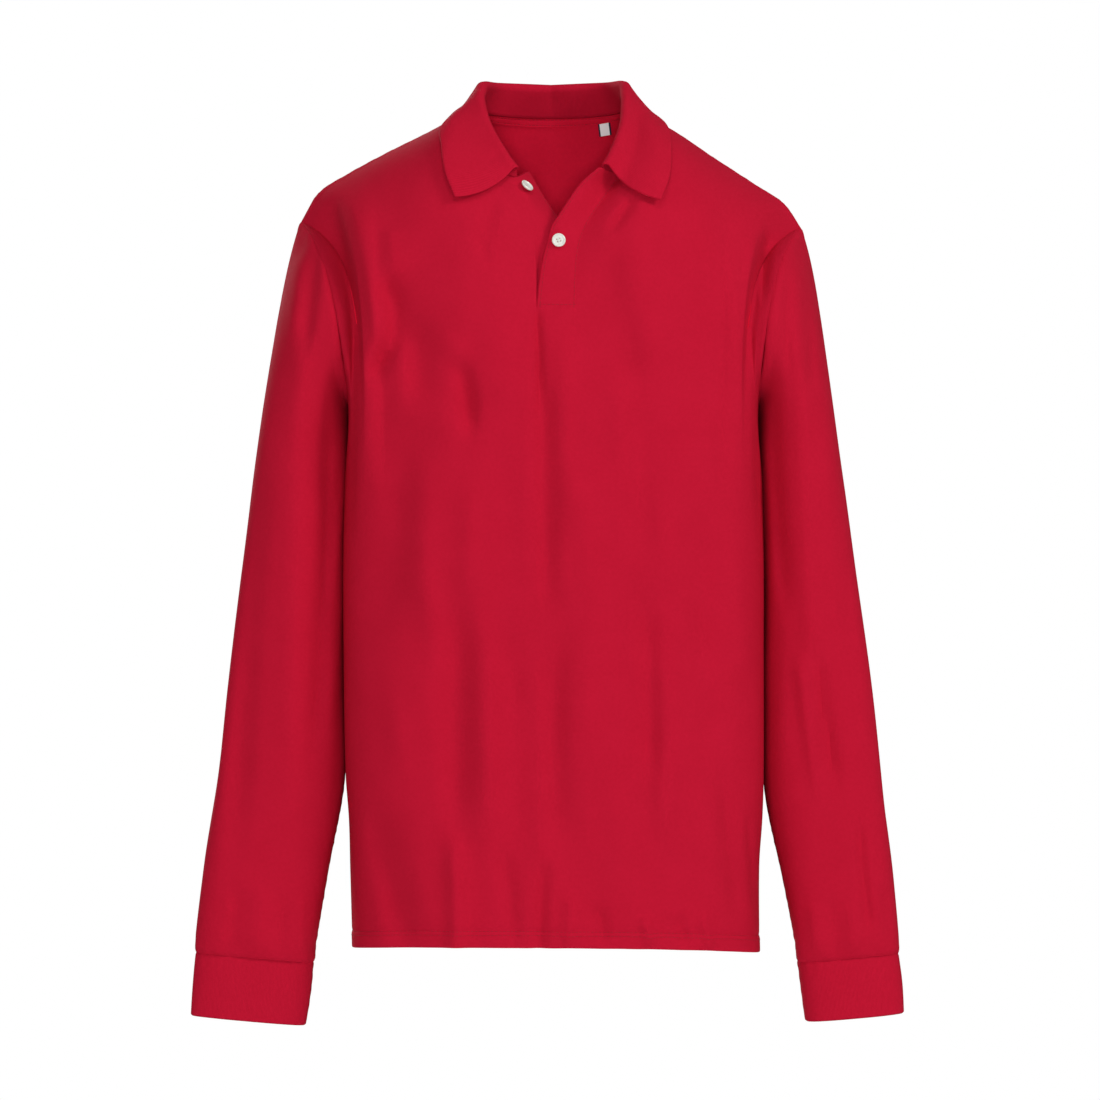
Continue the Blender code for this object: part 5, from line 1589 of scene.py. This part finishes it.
# Which way the leaf is held off the body, in degrees up from straight back to straight forward.
LEAF_SIDE = table(
    "turn  degrees",
    (0.00, 20.0),
    (0.50, 30.0),
    (0.80, 58.0),
    (1.00, 90.0),
    (1.15, 125.0),
    (1.30, 150.0),
    (1.60, 172.0),
    (2.35, 180.0),
)
COLLAR_END_TURN = 2.35
STRIP_TOP_SHARE = {RIGHT: 0.17, LEFT: 0.80}
COLLAR_ROLL_RADIUS = 0.0029
COLLAR_REST = 0.0036
LEAF_DROP = 0.6
LEAF_THIRDS = (0.33, 0.67)
FRONT_EDGE_BOW = 0.0055
STAND_LIFT, STRIP_LIFT = 0.0006, 0.0014
STRIP_TURN, STRIP_TURN_RATE = 1.83, 6  # where the collar's foot comes up on the button strip
RIB_STEP = 0.05
STAND_PARTS, ROLL_PARTS, LEAF_PARTS = 8, 8, 22
STRIP_TOP_PARTS = 40

print("marks along each half of the collar:", len(COLLAR[LEFT]["turn"]))

# %% The body under the collar
PROBE_START, PROBE_REACH = 0.2, 0.3  # how far off the body a search starts, and how far it looks
SEARCH_COLUMNS, SEARCH_ROWS, SEARCH_LOWEST = 45, 40, 1.1
FLATTEST = 0.45
LIFT_SOFTNESS = 0.0015
SETTLE_ROUNDS, SETTLE_ROWS = 6, 5


def search_tree(grids):
    """A search tree over grids of points."""
    points, faces = [], []
    for grid, flip in grids:
        faces += grid_quads(grid, len(points), flip).tolist()
        points += grid.reshape(-1, 3).tolist()
    return BVHTree.FromPolygons(points, faces)


def smooth_half(face, side):
    """The panel without its small folds, above the chest, for what lies on it."""
    steps, rises = np.linspace(0, HALF_STEPS, SEARCH_COLUMNS), np.linspace(SEARCH_LOWEST, 2, SEARCH_ROWS)
    step, rise = np.meshgrid(steps, rises)
    point = body_form(face, side, step, rise)
    return point + opening_shift(side, step, rise) if face == FRONT else point


BODY = search_tree(
    [(smooth_half(face, side), face == side) for face in (FRONT, BACK) for side in (RIGHT, LEFT)]
    + [(strip_grid(side, np.linspace(0, 1, 5)), side == LEFT) for side in (LEFT, RIGHT)]
)
print("the collar, the tape and the label can find the body")


def lift_needed(point, turn):
    """How far a leaf point must move off the body, along the way that the leaf is held off there."""
    angle = math.radians(float(read(LEAF_SIDE, "degrees", turn)))
    way = Vector((0.0, math.cos(angle), math.sin(angle)))
    hit, normal, _, _ = BODY.ray_cast(point + way * PROBE_START, -way, PROBE_REACH)
    if hit is None:
        return 0.0, way
    short = COLLAR_REST / max(abs(normal.dot(way)), FLATTEST) - (point - hit).dot(way)
    return 0.5 * (short + math.sqrt(short * short + LIFT_SOFTNESS**2)), way


# %% The collar's ribs
def collar_seam(side, turn):
    """The neckline's edge under the collar: the back, the front, and the top of the placket strip."""
    if turn <= 1:
        return Vector(neckline(BACK, side, turn))
    if turn <= 2:
        step = (2 - turn) * NECK_STEPS
        return Vector(neckline(FRONT, side, 2 - turn) + opening_shift(side, np.float64(step), 2.0))
    top = strip_grid(side, np.linspace(0, 1, STRIP_TOP_PARTS + 1), np.array([2.0]))[0]
    spot = Vector(top[round(STRIP_TOP_SHARE[side] * STRIP_TOP_PARTS)])
    return collar_seam(side, 2.0).lerp(spot, (turn - 2) / (COLLAR_END_TURN - 2))


def collar_mark(side, turn, what):
    """The place of the roll or of the leaf's edge."""
    x, y, z = (float(read(COLLAR[side], what + "_" + axis, turn)) for axis in "xyz")
    return Vector((side * x, y, z))


def roll_arc(roll, lift, away):
    """Points over the roll's half circle, from the stand's side to the leaf's."""
    for k in range(ROLL_PARTS + 1):
        angle = math.pi * (k / ROLL_PARTS - 0.5)
        spoke = (lift * math.cos(angle) + away * math.sin(angle)) * COLLAR_ROLL_RADIUS
        yield roll - lift * COLLAR_ROLL_RADIUS + spoke


print("the collar's end meets the strip at", tuple(round(v, 3) for v in collar_seam(LEFT, COLLAR_END_TURN)))


# %% One rib
def collar_leaf(leaf_top, edge, lift, bow_down):
    """The leaf's points below the roll. They first drop with the roll and then swing out to the edge."""
    third, two_thirds = (leaf_top.lerp(edge, share) for share in LEAF_THIRDS)
    bend = third.lerp(leaf_top - lift * (edge - leaf_top).length * LEAF_THIRDS[0], LEAF_DROP)
    for k in range(1, LEAF_PARTS + 1):
        t = k / LEAF_PARTS
        spot = Vector(bezier(*(np.array(p) for p in (leaf_top, bend, two_thirds, edge)), t))
        spot.z -= bow_down * 4 * t * (1 - t)
        yield spot


def collar_rib(side, turn):
    """One rib of the collar: up the stand from the neck seam, over the roll, and down the leaf."""
    seam = collar_seam(side, turn)
    roll, edge = collar_mark(side, turn, "roll"), collar_mark(side, turn, "edge")
    ahead = collar_mark(side, min(turn + RIB_STEP, COLLAR_END_TURN), "roll")
    behind = collar_mark(side, max(turn - RIB_STEP, 0.0), "roll")
    if turn < RIB_STEP:
        behind = Vector((-ahead.x, ahead.y, ahead.z))
    along = (ahead - behind).normalized()
    to_seam = ((seam - roll) - along * (seam - roll).dot(along)).normalized()
    to_edge = ((edge - roll) - along * (edge - roll).dot(along)).normalized()
    lift, away = -(to_seam + to_edge).normalized(), (to_edge - to_seam).normalized()
    bow = list(roll_arc(roll, lift, away))
    stand_top, leaf_top = bow[0], bow[-1]
    over_strip = float(ease((turn - STRIP_TURN) * STRIP_TURN_RATE)) if side == RIGHT else 0.0
    foot = seam - away * mix(DOUBLE_WALL, 0.0, over_strip)
    foot += ((stand_top - seam).normalized() * STAND_LIFT).lerp(Vector((0.0, 0.0, STRIP_LIFT)), over_strip)
    stand = [foot.lerp(stand_top, k / STAND_PARTS) for k in range(STAND_PARTS)]
    bow_down = FRONT_EDGE_BOW * float(ease((turn - 2.0) / (COLLAR_END_TURN - 2.0)))
    return np.array(stand + bow + list(collar_leaf(leaf_top, edge, lift, bow_down)))


# %% Lay the leaf on the body
def settle(points, turns):
    """Lifts the leaf's points off the body, by amounts that are smoothed over the leaf."""
    lifts, ways = np.zeros(points.shape[:2]), np.zeros(points.shape)
    first = STAND_PARTS + ROLL_PARTS + 1
    for i, turn in enumerate(turns):
        for k in range(first, points.shape[1]):
            lifts[i, k], ways[i, k] = lift_needed(Vector(points[i, k]), abs(turn))
    leaf = lifts[:, first:]
    for _ in range(SETTLE_ROUNDS):
        padded = np.pad(leaf, 1, mode="edge")
        leaf = (padded[:-2, 1:-1] + padded[2:, 1:-1] + padded[1:-1, :-2] + padded[1:-1, 2:]) / 8 + leaf / 2
    lifts[:, first:] = leaf * ease(np.arange(1, leaf.shape[1] + 1) / SETTLE_ROWS)[None, :]
    return points + ways * lifts[..., None]


# %% Build the collar
TURNS = in_order(np.linspace(0, 2, 91), np.linspace(2, COLLAR_END_TURN, 17))
FLAT_COLUMN = 14  # the column near the roll that the cloth's flat length is measured along


def collar_patch():
    right = [collar_rib(RIGHT, turn) for turn in TURNS[::-1]]
    left = [collar_rib(LEFT, turn) for turn in TURNS[1:]]
    points = settle(np.array(right + left), np.concatenate([TURNS[::-1], TURNS[1:]]))
    around = run_from_start(points[:, FLAT_COLUMN : FLAT_COLUMN + 1], 0)
    return points, flat_places(around, run_from_start(points, 1)), False


collar = make_shell("collar_knit", [collar_patch()], DOUBLE_WALL, RED_RIB, bulge=0.4, soft=True)

# %% [markdown]
# ## Neck tape and label
#
# Inside the back of the neck a tape covers the raw edges of the collar's seam. A small woven label hangs from
# it. It is left bare. The tape follows the back's inner face, a hair in front of it.

# %% Neck tape
TAPE_HEIGHT = 0.0080
LAYER_GAP = 0.0004
TAPE_DEPTHS = np.array((4, 8, 14, 22, 34, 46, 58, 66, 72, 77, 80)) / 10000
TAPE_COLUMNS = 48  # on each half
TAPE_SLOPE_RISE = 1.98
TAPE_STITCH_DIP, TAPE_STITCH_PLACE, TAPE_STITCH_WIDTH = 0.00025, 0.0028, 0.0006


def tape_patch():
    """(points, flat places, flip) of the tape's face that shows, from one neck point to the other."""
    half = np.linspace(0, NECK_STEPS, TAPE_COLUMNS + 1)
    columns = [(RIGHT, step) for step in half[::-1]] + [(LEFT, step) for step in half[1:]]
    top, below = np.array(
        [[body_point(BACK, side, step, rise) for side, step in columns] for rise in (2.0, TAPE_SLOPE_RISE)]
    )
    points = top[None] + unit(below - top)[None] * TAPE_DEPTHS[:, None, None]
    inward = -np.array([[BODY.find_nearest(Vector(p))[1] for p in row] for row in points])
    off_stitches = np.abs(TAPE_DEPTHS[:, None] - TAPE_HEIGHT / 2) - TAPE_STITCH_PLACE
    stitched = -TAPE_STITCH_DIP * np.exp(-((off_stitches / TAPE_STITCH_WIDTH) ** 2))
    depth = SHELL_WALL + LAYER_GAP + TAPE_WALL + stitched
    points = points + inward * depth[..., None]
    return points, flat_places(run_from_start(points, 1), -TAPE_DEPTHS[:, None]), True


TAPE_GRID = tape_patch()
neck_tape = make_shell("neck_tape_band", [TAPE_GRID], TAPE_WALL, RED_TAPE_PAINTED_LIGHT, bulge=0.3)

# %% Size label
LABEL = {"x": 0.0455, "top": -0.0057, "width": 0.0104, "height": 0.0108, "wall": 0.0006}
LABEL_TURN = math.radians(7.0)
LABEL_LEAN, LABEL_BOW = 0.10, 0.0005
LABEL_EDGE = 3.9  # mm from its middle to where the dark borders start
LABEL_WHITE, LABEL_DARK = (0.86, 0.86, 0.87, 1.0), (0.012, 0.008, 0.030, 1.0)
WEFT, WARP = 18.0, 26.0


def label_material():
    """White woven satin with a dark border at each selvedge."""
    material, tree, shader = new_material("white_label", 0.6, 0.25)
    split = tree.nodes.new("ShaderNodeSeparateXYZ")
    tree.links.new(flat_place(tree), split.inputs[0])
    away = math_node(tree, "ABSOLUTE", split.outputs["X"])
    border = math_node(tree, "GREATER_THAN", away, LABEL_EDGE)
    blend = tree.nodes.new("ShaderNodeMix")
    blend.data_type = "RGBA"
    blend.inputs[6].default_value, blend.inputs[7].default_value = LABEL_WHITE, LABEL_DARK
    tree.links.new(border, blend.inputs["Factor"])
    tree.links.new(blend.outputs[2], shader.inputs["Base Color"])
    weft = math_node(tree, "SINE", math_node(tree, "MULTIPLY", split.outputs["Y"], WEFT))
    warp = math_node(tree, "SINE", math_node(tree, "MULTIPLY", split.outputs["X"], WARP))
    add_bump(tree, shader, math_node(tree, "MULTIPLY", weft, warp), FINE_RELIEF, 0.5)
    return material


# %% Build the label
def label_patch():
    """(points, flat places, flip) of the label's face, turned a little as it hangs, and bowed."""
    half = LABEL["width"] / 2
    spots = [Vector((LABEL["x"] + way * half, 0.0, LABEL["top"])) for way in (-1, 1)]
    hits = [BODY.ray_cast(spot, Vector((0.0, 1.0, 0.0)))[0] for spot in spots]
    slope = (hits[1].y - hits[0].y) / LABEL["width"]
    near = min(hit.y for hit in hits) - SHELL_WALL - TAPE_WALL - LABEL["wall"] - 3 * LAYER_GAP
    across, down = np.linspace(-1, 1, 9)[None, :], np.linspace(0, 1, 11)[:, None]
    x, z = across * half, -down * LABEL["height"]
    turned_x = x * math.cos(LABEL_TURN) - z * math.sin(LABEL_TURN)
    turned_z = x * math.sin(LABEL_TURN) + z * math.cos(LABEL_TURN)
    bow = LABEL_LEAN * down * LABEL["height"] + LABEL_BOW * np.sin(down * math.pi)
    y = near + slope * (turned_x + half) - bow
    return vec(LABEL["x"] + turned_x, y, LABEL["top"] + turned_z), flat_places(x, z), True


WHITE_LABEL = label_material()
size_label = make_shell("size_label_woven", [label_patch()], LABEL["wall"], WHITE_LABEL, bulge=0.1)

# %% [markdown]
# ## Buttons
#
# The buttons are turned from one profile: a raised rim with a dished middle and four holes. The lower one
# lies flat on the buttonhole strip. The upper one hangs by its thread from the open button strip, so it
# tilts.

# %% Buttons
BUTTON_RADIUS, BUTTON_THICKNESS = 0.0057, 0.0024
BUTTON_HOLE_RADIUS, BUTTON_HOLE_SPACING = 0.00070, 0.0022
BUTTON_TURN_STEPS, HOLE_SIDES = 72, 20
BUTTON_CREASE, BUTTON_SPIN = math.radians(38), 0.35
TILT_CLEARANCE = 0.8  # how much of a tilted button's rim stands off its strip
# Each button's x and z, the strip it is sewn to, and the way it faces.
BUTTONS = {
    "button_lower": (0.0061, -0.1169, LEFT, (0.12, -0.97, 0.12)),
    "button_upper": (-0.0213, -0.0712, RIGHT, (0.60, -0.42, 0.68)),
}
BUTTON_PROFILE = table(
    "radius  height",
    (0.00, 0.00),
    (0.72, 0.00),
    (0.86, 0.08),
    (0.95, 0.26),
    (1.00, 0.50),
    (1.00, 0.66),
    (0.975, 0.86),
    (0.92, 0.97),
    (0.86, 1.00),
    (0.79, 0.96),
    (0.73, 0.84),
    (0.68, 0.72),
    (0.60, 0.67),
    (0.00, 0.66),
)

print("a button is", round(2 * BUTTON_RADIUS / MM, 1), "mm wide")


# %% Turn and drill a button
def turned_mesh(name):
    """The profile, turned round its axis."""
    mesh, bm = bpy.data.meshes.new(name), bmesh.new()
    profile = zip(*BUTTON_PROFILE.values())
    ends = [bm.verts.new((r * BUTTON_RADIUS, 0.0, h * BUTTON_THICKNESS)) for r, h in profile]
    edges = [bm.edges.new(pair) for pair in zip(ends, ends[1:])]
    turn = {"axis": (0, 0, 1), "cent": (0, 0, 0), "angle": 2 * math.pi, "use_merge": True}
    bmesh.ops.spin(bm, geom=ends + edges, steps=BUTTON_TURN_STEPS, **turn)
    bmesh.ops.remove_doubles(bm, verts=bm.verts, dist=1e-6)
    bmesh.ops.recalc_face_normals(bm, faces=bm.faces)
    bm.to_mesh(mesh)
    bm.free()
    return mesh


def hole_places():
    for k in range(4):
        turn = math.pi / 4 + k * math.pi / 2
        yield Vector((math.cos(turn), math.sin(turn), 0.0)) * BUTTON_HOLE_SPACING / math.sqrt(2)


def drilled(mesh):
    """The mesh with the four holes cut through it."""
    body, pins = bpy.data.objects.new("blank", mesh), bmesh.new()
    for place in hole_places():
        place.z = BUTTON_THICKNESS / 2
        at = Matrix.Translation(place)
        size = {"radius1": BUTTON_HOLE_RADIUS, "radius2": BUTTON_HOLE_RADIUS, "depth": BUTTON_THICKNESS * 3}
        bmesh.ops.create_cone(pins, cap_ends=True, segments=HOLE_SIDES, matrix=at, **size)
    pin_mesh = bpy.data.meshes.new("pins")
    pins.to_mesh(pin_mesh)
    pins.free()
    cutter = bpy.data.objects.new("pins", pin_mesh)
    for obj in (body, cutter):
        shirt.objects.link(obj)
    holes = body.modifiers.new("Holes", "BOOLEAN")
    holes.operation, holes.solver, holes.object = "DIFFERENCE", "EXACT", cutter
    bpy.context.view_layer.update()
    result = bpy.data.meshes.new_from_object(body.evaluated_get(bpy.context.evaluated_depsgraph_get()))
    bpy.data.objects.remove(body)
    bpy.data.objects.remove(cutter)
    result.shade_smooth()
    result.set_sharp_from_angle(angle=BUTTON_CREASE)
    return result


# %% The buttons' thread
BAR_RINGS, BAR_SIDES = 9, 6
BAR_HEIGHT = 0.70  # as a share of the button's thickness
BAR_RISE, BAR_SINK, BAR_OVERHANG = 0.00034, 0.00012, 0.00015
STRAND_GAP, STRAND_RADIUS = 0.00026, 0.00016


def strand_ring(bm, share, way, strand):
    """One ring of a strand, at a share of its length from -1 to 1."""
    half = BUTTON_HOLE_SPACING / 2
    rise = BAR_RISE * math.sqrt(max(1 - share * share, 0.0))
    height = BUTTON_THICKNESS * BAR_HEIGHT + rise - BAR_SINK
    middle = Vector((share * (half + BAR_OVERHANG), way * half + strand * STRAND_GAP, height))
    turns = [side * 2 * math.pi / BAR_SIDES for side in range(BAR_SIDES)]
    return [bm.verts.new(middle + Vector((0.0, math.cos(t), math.sin(t))) * STRAND_RADIUS) for t in turns]


def thread_bars(bm):
    """Two bars of thread between the holes, three strands in each."""
    for way in (-1, 1):
        for strand in (-1, 0, 1):
            rings = [strand_ring(bm, k / (BAR_RINGS - 1) * 2 - 1, way, strand) for k in range(BAR_RINGS)]
            for low, high in zip(rings, rings[1:]):
                for j in range(BAR_SIDES):
                    face = bm.faces.new((low[j], low[j - 1], high[j - 1], high[j]))
                    face.material_index, face.smooth = 1, True
            for ring in (rings[0], rings[-1][::-1]):
                bm.faces.new(ring).material_index = 1


# %% Sew on the buttons
def button(name):
    """A drilled button with its thread, set on its strip."""
    x, z, side, facing = BUTTONS[name]
    strip = search_tree([(STRIP_GRIDS[side][0], side == LEFT)])
    spot, normal, _, _ = strip.ray_cast(Vector((x, -PROBE_REACH, z)), Vector((0.0, 1.0, 0.0)))
    facing = Vector(facing).normalized()
    mesh = drilled(turned_mesh(name + "_turned"))
    bm = bmesh.new()
    bm.from_mesh(mesh)
    thread_bars(bm)
    bm.to_mesh(mesh)
    bm.free()
    mesh.materials.clear()
    mesh.materials.append(WHITE_BUTTON)
    mesh.materials.append(WHITE_THREAD)
    tilted = math.sqrt(max(1 - facing.dot(normal) ** 2, 0.0))
    place = Matrix.Translation(spot + normal * (LAYER_GAP + BUTTON_RADIUS * tilted * TILT_CLEARANCE))
    turn = facing.to_track_quat("Z", "Y").to_matrix().to_4x4()
    mesh.transform(place @ turn @ Matrix.Rotation(BUTTON_SPIN, 4, "Z"))
    obj = bpy.data.objects.new(name + "_four_hole", mesh)
    shirt.objects.link(obj)
    return obj


buttons = {name: button(name) for name in BUTTONS}
print("buttons:", ", ".join(obj.name for obj in buttons.values()))

# %% [markdown]
# ## Stitches
#
# Seams are sewn with short, even stitches. Each one here is a small thread tube that comes out of the cloth,
# lies on it and goes back in. The hem has the two close rows of a twin needle, and the placket and the neck
# tape are stitched along their edges.

# %% Rows of stitches
STITCH_SIDES, STITCH_RINGS = 5, 5
STITCH_LENGTH, STITCH_GAP, THREAD_RADIUS = 0.0026, 0.0007, 0.00017
STITCH_RISE, STITCH_SINK = 1.5, 0.9  # in thread radii


def stitch_row(path, normals):
    """(points, faces, flats) of stitches along a path on the cloth."""
    run = np.concatenate([[0.0], np.cumsum(np.linalg.norm(np.diff(path, axis=0), axis=1))])
    count = max(int(run[-1] / (STITCH_LENGTH + STITCH_GAP)), 1)
    starts = np.arange(count) * run[-1] / count
    share = np.linspace(0, 1, STITCH_RINGS)
    at = starts[:, None] + share[None, :] * STITCH_LENGTH
    middle = np.stack([np.interp(at, run, path[:, k]) for k in range(3)], -1)
    up = unit(np.stack([np.interp(at, run, normals[:, k]) for k in range(3)], -1))
    along = unit(np.gradient(middle, axis=1))
    aside = unit(np.cross(along, up))
    rise = (np.sin(share * math.pi) * STITCH_RISE - STITCH_SINK) * THREAD_RADIUS
    middle = middle + up * rise[None, :, None]
    turn = np.arange(STITCH_SIDES) * 2 * math.pi / STITCH_SIDES
    cosine, sine = np.cos(turn)[None, None, :, None], np.sin(turn)[None, None, :, None]
    points = middle[:, :, None] + (aside[:, :, None] * cosine + up[:, :, None] * sine) * THREAD_RADIUS
    ids = np.arange(count * STITCH_RINGS * STITCH_SIDES).reshape(count, STITCH_RINGS, STITCH_SIDES)
    beside = np.roll(ids, -1, axis=2)
    faces = np.stack([ids[:, :-1], beside[:, :-1], beside[:, 1:], ids[:, 1:]], -1).reshape(-1, 4)
    flats = np.stack(np.broadcast_arrays(at[:, :, None] / MM, turn[None, None, :]), -1).reshape(-1, 2)
    return points.reshape(-1, 3), faces, flats


# %% Rows along the cloth
def stitches(name, rows):
    """All of the rows as one piece of thread."""
    points, faces, flats, start = [], [], [], 0
    for path, normals in rows:
        row_points, row_faces, row_flats = stitch_row(path, normals)
        points.append(row_points)
        faces.append(row_faces + start)
        flats.append(row_flats)
        start += len(row_points)
    points, faces, flats = (np.concatenate(part) for part in (points, faces, flats))
    print(name, len(faces) * 2, "triangles")
    return link_mesh(name, points, faces, flats[faces], RED_THREAD)


def line_at(grid, face, distance, axis):
    """The line over a grid at one distance from its first row (axis 0) or its first column (axis 1)."""
    normals, run = grid_normals(grid, vec(0.0, face, 0.0)), run_from_start(grid, axis)
    if axis == 1:
        grid, normals, run = (np.swapaxes(part, 0, 1) for part in (grid, normals, run))
    path, up = [
        [[np.interp(distance, run[:, j], part[:, j, k]) for k in range(3)] for j in range(grid.shape[1])]
        for part in (grid, normals)
    ]
    return np.array(path), unit(np.array(up))


# %% Sew the hem, the placket and the tape
HEM_ROWS = (0.0136, 0.0102)  # how far above the hem's edge the twin needle's two rows lie
STRIP_SEAM_ROW, STRIP_EDGE_ROW, STRIP_FOOT_ROW = 0.0018, 0.0022, 0.0030
TAPE_ROWS = (0.0010, 0.0064)

hem_lines = [
    line_at(grid, face, distance, 0)
    for distance in HEM_ROWS
    for face, grids in ((FRONT, FRONT_GRIDS), (BACK, BACK_GRIDS))
    for grid, _, _ in grids
]
top_strip, under_strip = STRIP_GRIDS[LEFT][0], STRIP_GRIDS[RIGHT][0]
placket_lines = [
    line_at(top_strip, FRONT, STRIP_SEAM_ROW, 1),
    line_at(top_strip[:, ::-1], FRONT, STRIP_EDGE_ROW, 1),
    line_at(top_strip, FRONT, STRIP_FOOT_ROW, 0),
    line_at(under_strip[:, ::-1], FRONT, STRIP_EDGE_ROW, 1),
]
tape_lines = [line_at(TAPE_GRID[0], FRONT, distance, 0) for distance in TAPE_ROWS]
hem_thread = stitches("hem_stitches", hem_lines)
placket_thread = stitches("placket_stitches", placket_lines)
tape_thread = stitches("tape_stitches", tape_lines)

# %% [markdown]
# ## Hand each piece to the frame
# A shell stands for the solid that it dresses, which is hidden, and rides on the shirt's one body. Each is
# also declared as a sheet of cloth, with the size of the flat piece that it was cut as.

# %% Hand over the cloth
SHEETS = (
    (front, "front", "pique", (0.54, 0.72), 0.312, "hung", ["neck_tape"]),
    (back, "back", "pique", (0.54, 0.745), 0.321, "hung", ["neck_tape"]),
    (sleeves[RIGHT], "sleeve_right", "pique", (0.40, 0.64), 0.166, "hung", ["front", "back"]),
    (sleeves[LEFT], "sleeve_left", "pique", (0.40, 0.63), 0.160, "hung", ["front", "back"]),
    (cuffs[RIGHT], "cuff_right", "rib", (0.215, 0.054), None, "hung", ["sleeve_right"]),
    (cuffs[LEFT], "cuff_left", "rib", (0.205, 0.052), None, "hung", ["sleeve_left"]),
    (collar, "collar", "rib", (0.46, 0.085), 0.0347, "folded", ["front", "back"]),
    (placket_top, "placket_top", "pique", (0.033, 0.118), None, "hung", ["front"]),
    (placket_under, "placket_under", "pique", (0.033, 0.118), None, "hung", ["front"]),
    (neck_tape, "neck_tape", "rib", (0.148, 0.010), None, "hung", ["back"]),
    (size_label, "size_label", "label", (0.0104, 0.0108), None, "hung", ["neck_tape"]),
)


def hand_over(obj, node, slot):
    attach(obj, "root")
    if node:
        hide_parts(node)
    return obj


for obj, node, slot, flat, area, held, rests_on in SHEETS:
    hand_over(obj, node, slot)
    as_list(rests_on)
for name, obj in buttons.items():
    hand_over(obj, name, "button")
for obj in (hem_thread, placket_thread):
    hand_over(obj, None, "pique")
hand_over(tape_thread, None, "rib")
print("handed over", len(SHEETS), "sheets,", len(buttons), "buttons and 3 pieces of stitching")

# %% [markdown]
# ## Check the size
#
# The finished shirt should fill the same box as its solids. We print how far the two boxes differ.

# %% Print how far the two boxes differ
LOOK_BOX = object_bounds()
for cad, look in zip(CAD_BOX, LOOK_BOX):
    print("box differs by", [round((b - a) / MM, 1) for a, b in zip(cad, look)], "mm")
